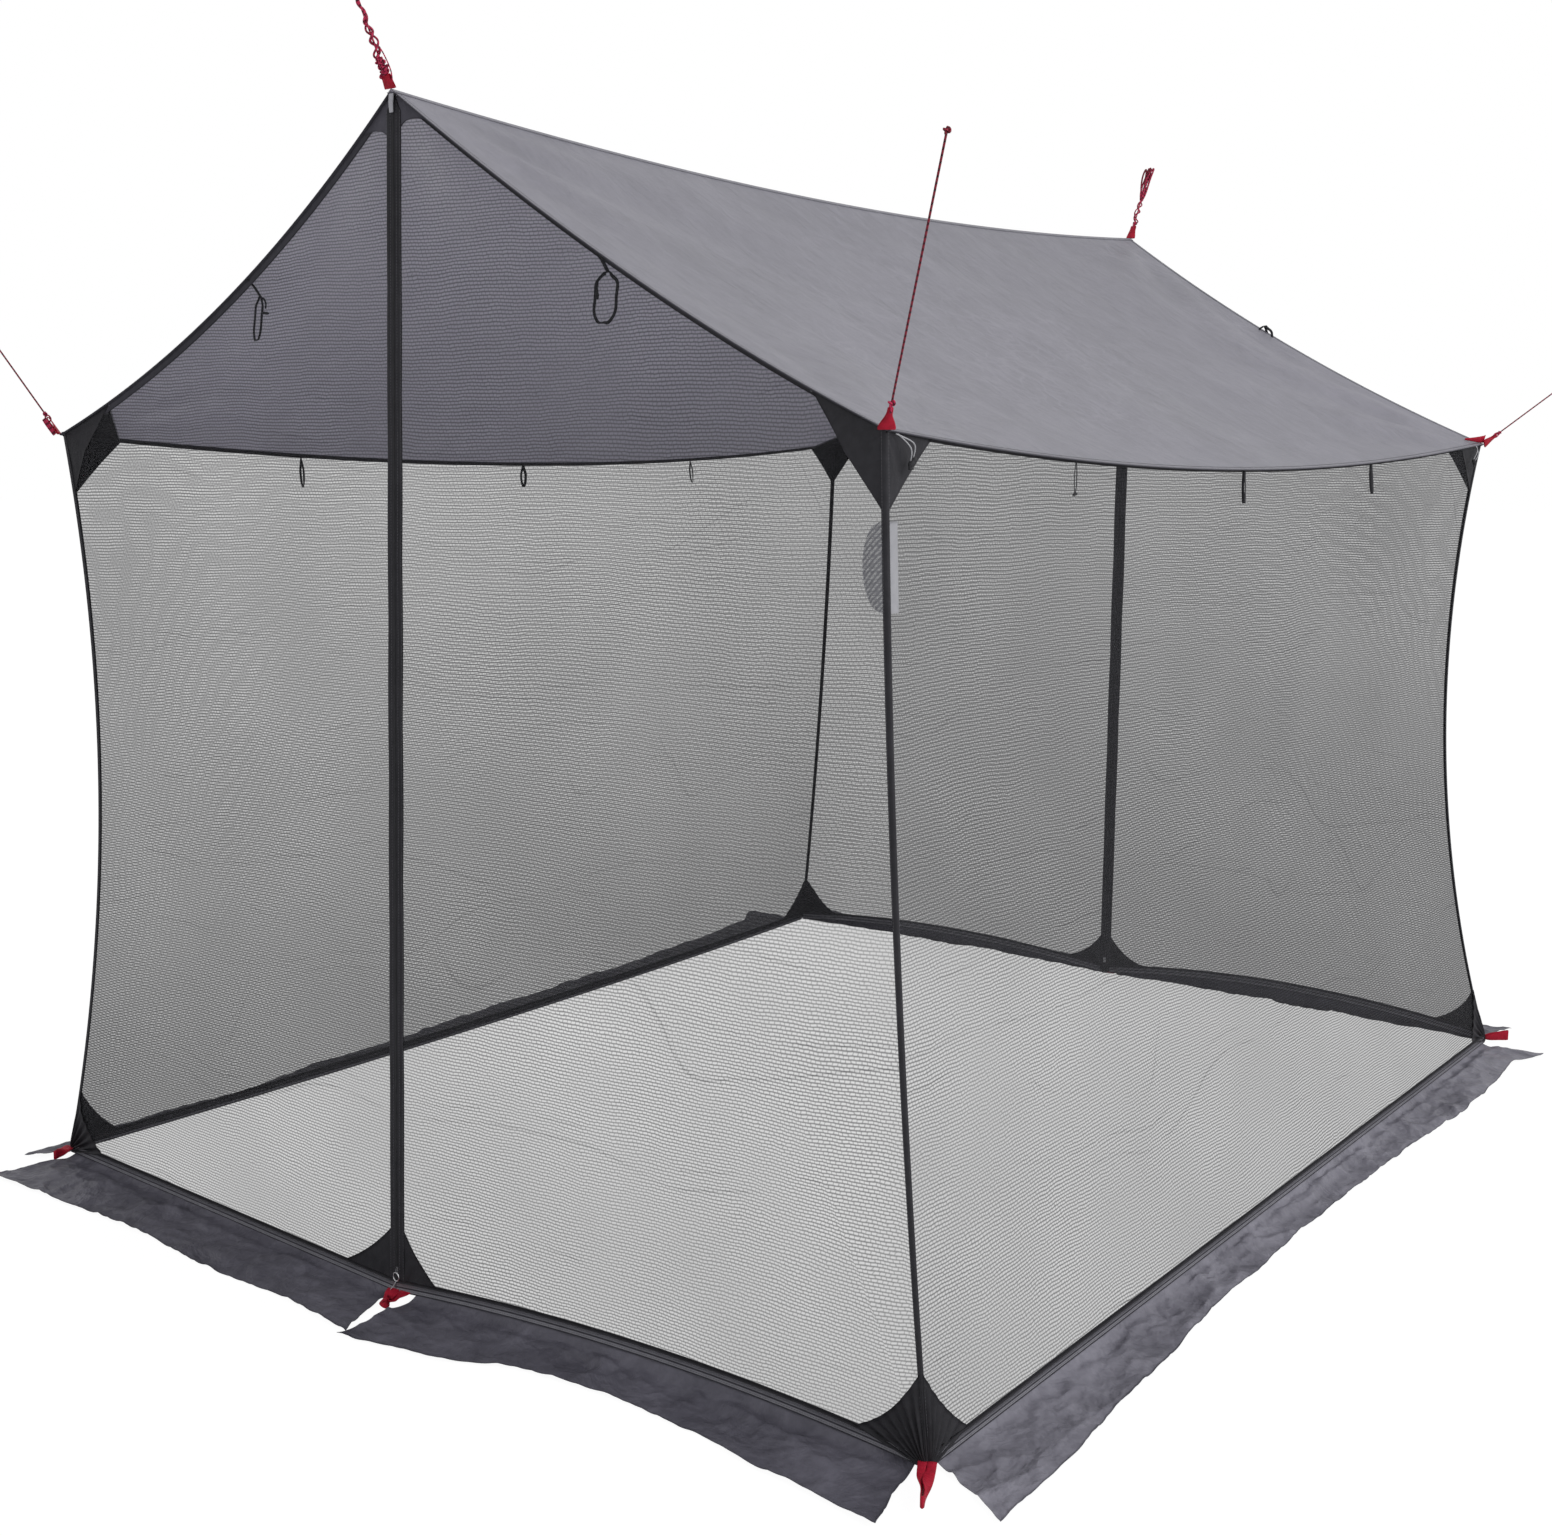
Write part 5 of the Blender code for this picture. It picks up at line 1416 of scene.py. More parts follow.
ZIP_TAPE = 0.0180
ZIP_FEET = {"front_left": (0.152, 0.130, 0.08), "front_right": (0.090, 0.134, 0.08),
            "back_left": (0.130, 0.128, 0.16), "back_right": (0.130, 0.128, 0.16)}
for key, end, side in corners():
    body, top = node_name(key, "door"), gable_top(1.0, end, 0.0).z
    normal = door_normal(side, end)
    profile = [(0.0004, 0.0002), (0.0022, 0.0005), (0.0034, 0.0015), (0.0046, 0.0005), (0.0086, 0.0002),
               (0.0102, 0.0013), (0.0118, 0.0003), (0.0160, 0.0011), (ZIP_TAPE, 0.0004)]
    rows = []
    for s in spread(160):
        row = []
        for x, height in profile:
            low, high = hem_height(key, x) - 0.001, top - door_slope() * x - 0.002
            sway = 0.0016 * math.sin(s * 23.0 + side) * math.sin(math.pi * s)
            p = panel_point(key, x + abs(sway) * ease(x / 0.01), lerp(low, high, s))
            row.append(p + normal * (height + 0.0026))
        rows.append(row)
    tape = cloth("tape", rows, (0.0, end, 0.0), [BLACK], 0.0042)
    for column in (4, 8):
        line = [row[column] + normal * 0.0003 + Vector((-side, 0.0, 0.0)) * 0.0008 for row in rows]
        add_stitches(body, line, [normal] * len(rows))
    wide, tall, curve = ZIP_FEET[key]
    low_x = ZIP_TAPE * 0.7
    far_x = low_x + wide
    gusset = fan_gusset((low_x, hem_height(key, 0.0)), (far_x, hem_height(key, far_x) + 0.018),
                        (low_x, HEM_HEIGHT + tall), curve, lambda x, z: panel_point(key, x, z),
                        (0.0, end, 0.0), 2, 0.0012)
    piece = merge("zip_tape_" + key, [tape, gusset])
    settle(piece, body, "black_cloth", node_name(key, "door_trim"))
print("zip tapes and their gussets")

# %% Apex patches
for key, end, side in corners():
    rows = []
    for t in spread(10, 0.005, 0.030 if side > 0.0 else 0.036):
        rows.append(gable_row(key, t, 6, 6, 0.012))
    last = len(rows) - 1
    for j, p in enumerate(rows[last]):
        sag = 0.016 * math.sin(math.pi * j / (len(rows[last]) - 1))
        for i in range(last + 1):
            rows[i][j] = rows[i][j] + UP * sag * (i / last) ** 2
    patch = cloth("apex_patch_" + key, rows, (0.0, end, 0.0), [PATCH], 0.0024, offset=0.0012)
    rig.slot(patch, "black_cloth")
    bend_at_fold(patch, key, 0.008)
print("apex patches")

# %% Dark strips under the roof's edge
# Dark strips under the rafters and the eaves, which darken the line under the roof's edge.
def run_strip(name, points, downs, outward, wide, finish):
    rows = [[p + d * wide * s for s in spread(2)] for p, d in zip(points, downs)]
    settle(cloth(name, rows, outward, [finish], 0.0022, offset=0.0011), "tent", "black_cloth")


for key, end, side in corners():
    stations = spread(80, 0.01, 1.0)
    points = [gable_top(side, end, v) for v in stations]
    downs = [(hinge_point(side, end, FOOT * v) - p).normalized() for v, p in zip(stations, points)]
    wide, finish = (0.0170, EDGE) if side < 0.0 else (0.0085, BLACK)
    run_strip("rafter_tape_" + key, points, downs, (0.0, end, 0.0), wide, finish)
for side_label, side in SIDES.items():
    points = [side_top(side, (u - 0.5) * BASE_LENGTH) for u in spread(120)]
    run_strip("eave_tape_" + side_label, points, [-UP] * len(points), (side, 0.0, 0.0), 0.0060, BLACK)
print("tapes under the roof's edge")

# %% [markdown]
# ## Mud skirt
#
# The skirt closes the gap under the wall against insects and draughts. It is sewn to the hem, drops
# to the ground and lies outwards, unweighted, so it crumples: long folds run along it and short ones
# cross them. It is widest at the corners, where the cloth is pulled out.

# %% Mud skirts
SKIRT_FOLD = 0.017  # height of the folds


def sharp(point, scale, seed):
    """A ridged noise, like the crisp folds of coated cloth."""
    return (1.0 - abs(2.0 * crease(point, scale, seed))) ** 2


def skirt(name, body, nodes, hem_points, outward, along, reach, flares, seed, finish, spread_out=0.0,
          bend=1.4):
    """Rows from the hem to the outer edge; reach gives the width at each share of the length."""
    count = len(hem_points) - 1
    total = path_length(hem_points)
    rows = []
    for q in spread(34):
        row = []
        for i, hem in enumerate(hem_points):
            s = i / count
            done, left = s * total, (1.0 - s) * total
            broad = 0.05 * crease((done, seed, 0.3), 5.0, seed)
            fine = 0.02 * crease((done, seed, 4.3), 15.0, seed)
            width = reach(s) * (1.0 + broad + fine) + spread_out * (1.0 - ease(left / 0.13))
            start = flares[0] * (1.0 - ease(done / 0.22))
            stop = flares[1] * (1.0 - ease(left / 0.22))
            out = width * q
            drop = max(1.0 - out / 0.060, 0.0) ** 2.6
            p = Vector((hem.x, hem.y, 0.0)) + outward * out + along * ((stop - start) * q ** bend)
            lie = ease((q - 0.10) / 0.2)
            long_fold = sharp((p.dot(along) * 0.45, p.dot(outward) * 1.5, seed), 7.0, seed)
            fold = 0.60 * long_fold + 0.45 * sharp((p.x, p.y, seed + 1.0), 9.0, seed + 1)
            fold += 0.30 * sharp((p.x, p.y, seed), 21.0, seed + 2)
            bunch = 0.0045 * math.sin(done * 62.0 + 4.0 * crease((done, 0.0, seed), 3.0, 9))
            bunch *= (1.0 - lie) * math.sin(math.pi * min(q / 0.35, 1.0))
            p.z = 0.0012 + (hem.z - 0.0022) * drop + SKIRT_FOLD * lie * fold * (1.0 - 0.45 * q)
            p += outward * (bunch + 0.004 * (1.0 - drop) * crease((done, q, seed), 7.0, seed + 4))
            row.append(p)
        rows.append(row)
    piece = cloth(name, rows, (outward.x * 0.2, outward.y * 0.2, 1.0), [finish], 0.0009)
    declare_cloth(piece, body, nodes, "skirt_cloth", "laid", rows)


def profile_of(values):
    """A smooth width through evenly spaced values, in metres."""
    def width(s):
        t = min(max(s, 0.0), 1.0) * (len(values) - 1)
        k = min(int(t), len(values) - 2)
        return lerp(values[k], values[k + 1], ease(t - k))
    return width


DOOR_SKIRTS = {"front_left": (0.178, 0.162, 0.168, 0.162, 0.165, 0.180, 0.195),
               "front_right": (0.198, 0.176, 0.120, 0.112, 0.128, 0.160, 0.192),
               "back_left": (0.190, 0.175, 0.150, 0.160, 0.150, 0.170, 0.190),
               "back_right": (0.190, 0.160, 0.165, 0.150, 0.160, 0.165, 0.190)}
SIDE_SKIRTS = {"left": (0.076, 0.088, 0.115, 0.135, 0.140, 0.150, 0.185),
               "right": (0.176, 0.130, 0.095, 0.086, 0.098, 0.128, 0.112)}
SKIRT_STARTS = {"front_left": (0.010, 0.057), "front_right": (0.050, 0.012), "back_left": (0.040, 0.038),
                "back_right": (0.040, 0.038)}
seed = 1
for key, end, side in corners():
    start, flare = SKIRT_STARTS[key]
    line = [panel_point(key, x, hem_height(key, x)) for x in spread(150, start, DOOR_HALF - 0.022)]
    skirt("skirt_door_" + key, node_name(key, "door"), [node_name(key, "door_skirt")], line,
          Vector((0.0, end, 0.0)), Vector((side, 0.0, 0.0)), profile_of(DOOR_SKIRTS[key]), (flare, 0.047),
          seed, SKIRT)
    seed += 1
for side_label, side in SIDES.items():
    line = [side_hem(side, u) for u in spread(300, 0.0085, 1.0 - 0.0085)]
    # The right skirt takes the lighter copy of the skirt cloth, painted as sunlit; the left one takes the plain skirt
    # cloth.
    skirt("skirt_side_" + side_label, "tent", ["side_skirt_" + side_label], line,
          Vector((side, 0.0, 0.0)), Vector((0.0, 1.0, 0.0)), profile_of(SIDE_SKIRTS[side_label]),
          (0.105 if side < 0.0 else 0.090, 0.028), seed,
          SKIRT if side < 0.0 else SIDE_SKIRT, 0.050, 0.5 if side < 0.0 else 1.4)
    seed += 1
print("six skirts")

# %% [markdown]
# ## Webbing and loops
#
# All the straps are one woven ribbon, so one function draws them: a path, and at each point the way
# in which the ribbon lies. That second list is what makes a strap look real, because webbing never
# stays flat: a stake loop is sewn on flat and stands on edge at its tip, where the stake goes through.

# %% Ribbon
def ribbon(name, path, across, width, thick, material, closed=False):
    """A strap along points of the frame; across gives the way of its width at each point."""
    path, count = [Vector(p) for p in path], len(path)
    section = [(-0.5, 0.0), (-0.46, 0.5), (0.46, 0.5), (0.5, 0.0), (0.46, -0.5), (-0.46, -0.5)]
    points, maps, faces, along, size = [], [], [], 0.0, 6
    for i, p in enumerate(path):
        before = path[i - 1] if i or closed else path[0]
        after = path[(i + 1) % count] if i < count - 1 or closed else path[-1]
        run = (after - before).normalized()
        way = (Vector(across[i]) - run * run.dot(Vector(across[i]))).normalized()
        along += (p - path[i - 1]).length if i else 0.0
        wide = width[i] if isinstance(width, list) else width
        for a, b in section:
            points.append(p + way * a * wide + run.cross(way) * b * thick - SHIFT)
            maps.append((along, a * wide))
    for i in range(count if closed else count - 1):
        for k in range(size):
            n, a, b = (k + 1) % size, i * size, (i + 1) % count * size
            faces.append((a + k, a + n, b + n, b + k))
    if not closed:
        faces += [tuple(reversed(range(size))), tuple(range((count - 1) * size, count * size))]
    return point_outwards(finish_mesh(name, points, faces, maps, [material]))


STRAP_LEG = ((-1.0, 0.0), (-0.86, 0.25), (-0.45, 0.60), (-0.42, 0.86), (-0.36, 0.955))


def there_and_back(leg, tip):
    """One leg of a doubled strap, then its tip, then the leg mirrored, back to the seam."""
    return list(leg) + [tip] + [(-x, y, z) for x, y, z in reversed(leg)]


def strap_loop(name, root, direction, across, face, length, half, width, drop=0.0, stand=1.0, tip=1.0,
               flat=0.25):
    """A doubled strap: flat at its root, on edge round its tip."""
    line = smooth_path(there_and_back([(half * x, y, 0.0) for x, y in STRAP_LEG], (0.0, 0.985, 0.0)), 60)
    width = [width * lerp(1.0, tip, ease(q.y)) for q in line]
    path, ways = [], []
    for q in line:
        turn = stand * ease((q.y - flat) / 0.62) * math.pi / 2.0
        path.append(root + across * q.x + direction * length * q.y - face * drop * q.y)
        ways.append(across * math.cos(turn) + face * math.sin(turn))
    return ribbon(name, path, ways, width, STRAP_THICK, RED_WEBBING)


STRAP_THICK = 0.0016
print("ribbon helper ready")

# %% Stake loops
STAKE_LOOPS = {  # length, strap, how much wider it stands at the tip, way it lies
    "front_left": (0.072, 0.016, 1.2, (0.45, -1.0)), "front_right": (0.134, 0.0175, 1.25, (1.0, -1.87)),
    "back_left": (0.060, 0.016, 1.3, (-1.0, 0.85)), "back_right": (0.070, 0.016, 1.75, (1.0, 0.85))}
for end_label, end in ENDS.items():
    for side_label, side in SIDES.items():
        key = end_label + "_" + side_label
        length, wide, tip, way = STAKE_LOOPS[key]
        out = Vector((*way, 0.0)).normalized()
        root = bottom_corner(side, end) + Vector((side, end, 0.0)) * 0.0009 + UP * 0.0090 + SHIFT
        loop = strap_loop("stake_loop_strap_" + key, root, out, Vector((out.y, -out.x, 0.0)), UP, length,
                          0.0075,
                          wide, -0.5 * wide * (tip - 1.0), tip=tip, flat=-0.30 if end > 0.0 else 0.25)
        settle(loop, "tent", "red_webbing", "stake_loop_" + key)
    low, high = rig.box("stake_loop_" + end_label + "_zip")
    root = Vector(((low[0] + high[0]) / 2.0 + 0.022, high[1] if end < 0.0 else low[1], high[2] - 0.0012))
    out = Vector((0.40, end, 0.0)).normalized()
    loop = strap_loop("stake_loop_strap_" + end_label + "_zip", root, out,
                      Vector((abs(out.y), -out.x * end, 0.0)),
                      UP, 0.062, 0.0150, 0.0260, 0.0, stand=0.2)
    settle(loop, end_label + "_door_left", "red_webbing", "stake_loop_" + end_label + "_zip")
print("six stake loops")

# %% Guy tabs
def gathered_tab(root, direction, across, face, length, base, tip):
    """A doubled strap, wide where it is sewn and gathered where the line goes through it."""
    leg = [(0.0014, 0.0, 0.0), (0.0017, 0.35, 0.0), (0.0024, 0.72, 0.0), (0.0022, 0.93, 0.0)]
    line = smooth_path(there_and_back(leg, (0.0, 1.0, 0.0)), 48)
    path = [root + direction * length * q.y + face * q.x for q in line]
    wide = [lerp(base, tip, ease(q.y / 0.8)) for q in line]
    return ribbon("tab", path, [across] * len(path), wide, 0.0015, RED_WEBBING)


TAB_TURN = 0.9  # the back right tab is twisted half on edge


def tail_width(s):
    """The strap's tail stands half on edge on the roof, high by the corner and low at its end."""
    return lerp(0.024, 0.005, s ** 0.8)


for label in GUY_LINES:
    root, direction, across = pull_of(label)
    face = across.cross(direction).normalized()
    if label == "back_right":
        turn = TAB_TURN
        across, face = (across * math.cos(turn) + face * math.sin(turn),
                        face * math.cos(turn) - across * math.sin(turn))
    base = 0.028 if label.endswith("apex") else 0.029
    reach = 0.026 if label == "front_apex" else TAB_LENGTH - 0.003
    tip = {"front_apex": 0.022, "back_apex": 0.016}.get(label, 0.0085)
    parts = [gathered_tab(root + direction * 0.001, direction, across, face, reach, base, tip)]
    if label in ("back_right", "back_left"):
        side = SIDES[label.split("_")[1]]
        line = []
        for s in spread(18):
            u, v = 0.9996 - 0.0200 * s, 1.0 - 0.028 * s
            seat = roof_point(side, u, v) + UP * 0.5 * tail_width(s)
            line.append(seat + slope_normal(side, u, v) * 0.0026 + SHIFT)
        ways, wide = [Vector((side * 0.5, 0.0, 1.0))] * len(line), [tail_width(s) for s in spread(18)]
        parts.append(ribbon("tail", line, ways, wide, STRAP_THICK, RED_WEBBING))
    settle(merge("guy_tab_" + label + "_webbing", parts), "tent", "red_webbing", "guy_tab_" + label)
print("six guy tabs")

# %% [markdown]
# The eave loops hold the rolled wall or a mat; the gable ties hold a rolled door with a toggle. Nobody
# irons them, so each hangs with a twist of its own: one shows its face, one its edge, one has a toggle.

# %% Eave loops
EAVE_LOOPS = {  # half width, ribbon, first turn, more turn, slant, share of the length
    "left_1": (0.0062, 0.0060, 0.5, 1.1, 0.004, 1.0), "left_2": (0.0105, 0.0105, 1.45, 0.10, 0.001, 0.78),
    "left_3": (0.0085, 0.0050, 0.6, 0.9, 0.010, 0.92), "right_1": (0.0022, 0.0016, 0.8, 0.3, -0.001, 0.80),
    "right_2": (0.0036, 0.0066, 0.7, 1.0, 0.006, 0.92), "right_3": (0.0040, 0.0066, 0.9, 0.6, 0.018, 0.95)}


def toggle_shape(s):
    ends = math.sin(math.pi * min(max(s, 0.02), 0.98)) ** 0.35
    return ends * (1.0 - 0.22 * math.exp(-((s - 0.5) / 0.12) ** 2))


def barrel(name, centre, along, radius, length):
    """A turned toggle with rounded ends and a waist."""
    path = [centre + along * length * (s - 0.5) for s in spread(14)]
    return tube(name, path, radius, TOGGLE, 12, toggle_shape)


TOGGLE = braid("black plastic", (0.030, 0.030, 0.033), (0.014, 0.014, 0.016), radius=0.02)
for key, (half, wide, first, more, slant, share) in EAVE_LOOPS.items():
    low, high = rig.box("eave_loop_" + key)
    top = Vector(((low[0] + high[0]) / 2.0, (low[1] + high[1]) / 2.0, high[2]))
    side = SIDES[key.split("_")[0]]
    length = (high[2] - low[2]) * share
    path, ways = [], []
    for angle in round_angles(56):
        s = (1.0 - math.cos(angle)) / 2.0
        a = half * math.sin(angle) * (0.35 + 0.65 * ease(s / 0.5)) + slant * s
        out = 0.0012 * math.sin(angle) + 0.0020
        path.append(top + Vector((side * out, a, -0.001 - (length - 0.002) * s)))
        turn = first + more * math.sin(angle)
        ways.append(Vector((side * math.cos(turn), math.sin(turn), 0.0)))
    parts = [ribbon("loop", path, ways, wide, 0.0011, BLACK_WEBBING, closed=True)]
    if key == "right_1":
        middle = top + Vector((side * 0.002, -0.001, -length))
        parts.append(barrel("toggle", middle, Vector((0.0, 1.0, 0.15)).normalized(), 0.0030, 0.016))
    settle(merge("eave_loop_strap_" + key, parts), "eave_loop_" + key, "black_webbing", "eave_loop_" + key)
print("six eave loops")

# %% Gable ties
TIE_INSET, TIE_PLACE = 0.0637, 3.0 / 7.0  # how far in from the edge, and the share of the way down the rafter
TIE = {"front_right": (0.0230, 0.0075), "front_left": (0.0115, 0.0050),  # half width of the loop, ribbon
       "back_right": (0.0220, 0.0070), "back_left": (0.0180, 0.0065)}
TIE_LOOP = (  # share of the half width, and how far down
    (-0.30, 0.004), (-0.55, 0.010), (-1.0, 0.022), (-1.0, 0.046), (-1.0, 0.072), (-0.55, 0.0895),
    (0.0, 0.0905),
    (0.50, 0.0895), (1.0, 0.072), (1.0, 0.046), (1.0, 0.022), (0.45, 0.010), (0.10, 0.003), (-0.30, 0.004))
for key, end, side in corners():
    low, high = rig.box("gable_tie_" + key)
    wall = gable_top(side, end, TIE_PLACE)
    ruling = hinge_point(side, end, FOOT * TIE_PLACE) - wall
    face = ruling.cross(gable_top(side, end, TIE_PLACE + 0.05) - wall).normalized()
    down = (face * face.dot(UP) - UP + Vector((0.0, end * 0.030, 0.0))).normalized()
    face = face if face.y * end > 0.0 else -face
    across = Vector((side, 0.0, 0.0)) - face * face.x * side
    across = (across - down * across.dot(down)).normalized()
    edge = roof_point(side, 0.0 if end < 0.0 else 1.0, TIE_PLACE)
    y = end * (BASE_LENGTH / 2.0 + OVERHANG - TIE_INSET) + SHIFT.y - end * 0.0013
    top = Vector((edge.x, y, high[2]))
    sewn = edge + SHIFT - UP * 0.0030 - Vector((0.0, end * 0.0030, 0.0))
    tab = smooth_path([sewn, lerp(sewn, top, 0.5) + UP * 0.002, top - UP * 0.003], 12)
    hanger = ribbon("gable_tie_tab_" + key, tab, [across] * len(tab), 0.0080, 0.0014, BLACK_WEBBING)
    settle(hanger, "tent", "black_webbing")
    half, wide = TIE[key]
    line = smooth_path([(x * half, y, 0.0) for x, y in TIE_LOOP], 90)[:-1]
    path = [top + across * q.x + down * q.y + face * 0.0008 for q in line]
    ways = []
    for q in line:
        s = ease(0.5 + q.x / half)
        ways.append(across * s * 0.9 + down * 0.5 * ease((q.y - 0.07) / 0.02) + face * (1.0 - 0.8 * s))
    parts = [ribbon("loop", path, ways, wide, 0.0013, BLACK_WEBBING, closed=True)]
    start = top - across * 0.004 + down * 0.006
    stop = top - across * 0.0208 + down * 0.0280
    strap = smooth_path([start, start - across * 0.010 + down * 0.003, stop - down * 0.010, stop], 20)
    parts.append(ribbon("strap", strap, [across] * len(strap), 0.0045, 0.0012, BLACK_WEBBING))
    lean = across - down * 0.1 if key == "front_left" else down + across * 0.25
    parts.append(barrel("toggle", stop + down * 0.009, lean.normalized(), 0.0034, 0.026))
    settle(merge("gable_tie_strap_" + key, parts), "gable_tie_" + key, "black_webbing", "gable_tie_" + key)
print("four gable ties")

# %% [markdown]
# ## Small fittings
#
# A few things are sewn on by hand: a pale tab over the top of the front zip, a net pocket beside the
# near corner seam, and an elastic with a hook under each right corner, which takes up the slack.

# %% Tab, pocket and hooks
apex = gable_top(1.0, -1.0, 0.0)
rows = []
for s in spread(10):
    z, wide = apex.z - 0.004 - 0.034 * s, lerp(0.0062, 0.0048, s)
    y = door_drop(-1.0, 0.0, z) - 0.0075 - 0.0015 * math.sin(math.pi * s)
    rows.append([Vector((wide * k, y, z)) for k in (-1.0, -0.5, 0.0, 0.5, 1.0)])
tab = cloth("apex_tab", rows, (0.0, -1.0, 0.0), [PALE], 0.0012)
settle(tab, "tent", "grey_tape")

rows, rows_side = [], []
for s in spread(24):
    z = lerp(1.558, 1.412, s)
    seam = seam_point(1.0, -1.0, z / EAVE_HEIGHT)
    round_way = math.sqrt(max(1.0 - (2.0 * s - 1.0) ** 2, 0.0))
    row, row_side = [], []
    for k in spread(8):
        swell = math.sin(math.pi * k)
        on_net = on_gable(1.0, -1.0, seam.x - 0.004 - (0.004 + 0.034 * round_way) * k, z)
        row.append(on_net + Vector((0.0, -1.0, 0.0)) * (0.0018 + 0.004 * swell * round_way))
        on_wall = on_side(1.0, seam.y + 0.003 + 0.030 * k, z)
        row_side.append(on_wall + Vector((1.0, 0.0, 0.0)) * (0.0018 + 0.003 * swell))
    rows.append(row)
    rows_side.append(row_side)
POCKET = net_finish("doubled net", 0.79, 0.0, 0.0, 0.0095, 0.030, 5.0)
FACING = woven("pale facing", (0.36, 0.36, 0.38), (0.26, 0.26, 0.28), 0.0014, 0.7, 0.002, 30.0)
slanted = [(p.x + p.z * 0.9, p.z - p.x) for row in rows for p in row]
pocket = cloth("pocket_net", rows, (0.0, -1.0, 0.0), [POCKET], maps=slanted)
declare_cloth(pocket, "tent", [], "mosquito_net", "stretched", rows)
facing = cloth("pocket_facing", rows_side, (1.0, 0.0, 0.0), [FACING], 0.0008)
declare_cloth(facing, "tent", [], "grey_tape", "stretched", rows_side)

for end_label, end in ENDS.items():
    parts = []
    corner, inward = top_corner(1.0, end), 0.024 if end > 0.0 else 0.0
    for k, (lean, drop) in enumerate(((0.064, 0.044), (0.056, 0.050))):
        start = corner + Vector((0.006, -end * (inward + 0.022 + 0.006 * k), -0.006))
        stop = corner + Vector((0.012, -end * (inward + lean), -drop))
        middle = (start + stop) / 2.0 + Vector((0.010, -end * (0.012 - 0.008 * k), 0.004 - 0.004 * k))
        line = [p + SHIFT for p in smooth_path([start, middle, stop], 16)]
        parts.append(tube("elastic", line, 0.0011, SILVER_CORD, 8))
    hook = corner + Vector((0.0135, -end * (inward + 0.060), -0.050)) + SHIFT
    parts.append(barrel("hook", hook, Vector((0.0, -end * 0.8, 0.6)).normalized(), 0.0055, 0.022))
    plate = [hook + Vector((0.0, end * 0.004, -0.004 * i)) for i in range(4)]
    parts.append(ribbon("hook plate", plate, [Vector((0.0, 1.0, 0.0))] * 4, 0.0120, 0.0030, TOGGLE))
    settle(merge("corner_elastic_" + end_label, parts), "tent", "black_webbing")
print("tab, pocket and elastics")

# %% [markdown]
# ## Stitches and the zip's coil
#
# A seam is one small shape repeated thousands of times along a line, which is work for Geometry Nodes.
# The lines are edges of a plain mesh that also stores which way is out of the cloth. The tree turns
# them to curves, sets a point at every pitch, and turns each stitch to lie along the seam and face
# out. The coil of the zip is the same tree with another size.

# %% Tree that repeats a small bar along lines
def bar_tree():
    tree = bpy.data.node_groups.new("bars along a line", "GeometryNodeTree")
    sockets = tree.interface
    sockets.new_socket("Geometry", in_out="INPUT", socket_type="NodeSocketGeometry")
    kinds = {"Pitch": "Float", "Length": "Float", "Width": "Float", "Height": "Float",
             "Material": "Material"}
    sizes = {name: sockets.new_socket(name, in_out="INPUT", socket_type="NodeSocket" + kind).identifier
             for name, kind in kinds.items()}
    sockets.new_socket("Geometry", in_out="OUTPUT", socket_type="NodeSocketGeometry")
    link = tree.links.new

    def node(kind, **settings):
        made_node = tree.nodes.new(kind)
        for key, value in settings.items():
            setattr(made_node, key, value)
        return made_node

    given, made = node("NodeGroupInput"), node("NodeGroupOutput")
    curve = node("GeometryNodeMeshToCurve")
    even = node("GeometryNodeResampleCurve", mode="LENGTH")
    link(given.outputs["Geometry"], curve.inputs["Mesh"])
    link(curve.outputs["Curve"], even.inputs["Curve"])
    link(given.outputs["Pitch"], even.inputs["Length"])
    size = node("ShaderNodeCombineXYZ")
    for socket, name in zip(size.inputs, ("Length", "Width", "Height")):
        link(given.outputs[name], socket)
    bar = node("GeometryNodeMeshCube")
    link(size.outputs[0], bar.inputs["Size"])
    out = node("GeometryNodeInputNamedAttribute", data_type="FLOAT_VECTOR")
    out.inputs["Name"].default_value = "out"
    turn = node("FunctionNodeAxesToRotation", primary_axis="X", secondary_axis="Z")
    link(node("GeometryNodeInputTangent").outputs[0], turn.inputs["Primary Axis"])
    link(out.outputs["Attribute"], turn.inputs["Secondary Axis"])
    place = node("GeometryNodeInstanceOnPoints")
    link(even.outputs["Curve"], place.inputs["Points"])
    link(bar.outputs["Mesh"], place.inputs["Instance"])
    link(turn.outputs[0], place.inputs["Rotation"])
    real, paint = node("GeometryNodeRealizeInstances"), node("GeometryNodeSetMaterial")
    link(place.outputs["Instances"], real.inputs["Geometry"])
    link(real.outputs["Geometry"], paint.inputs["Geometry"])
    link(given.outputs["Material"], paint.inputs["Material"])
    link(paint.outputs["Geometry"], made.inputs[0])
    return tree, sizes


BARS, BAR_SIZES = bar_tree()


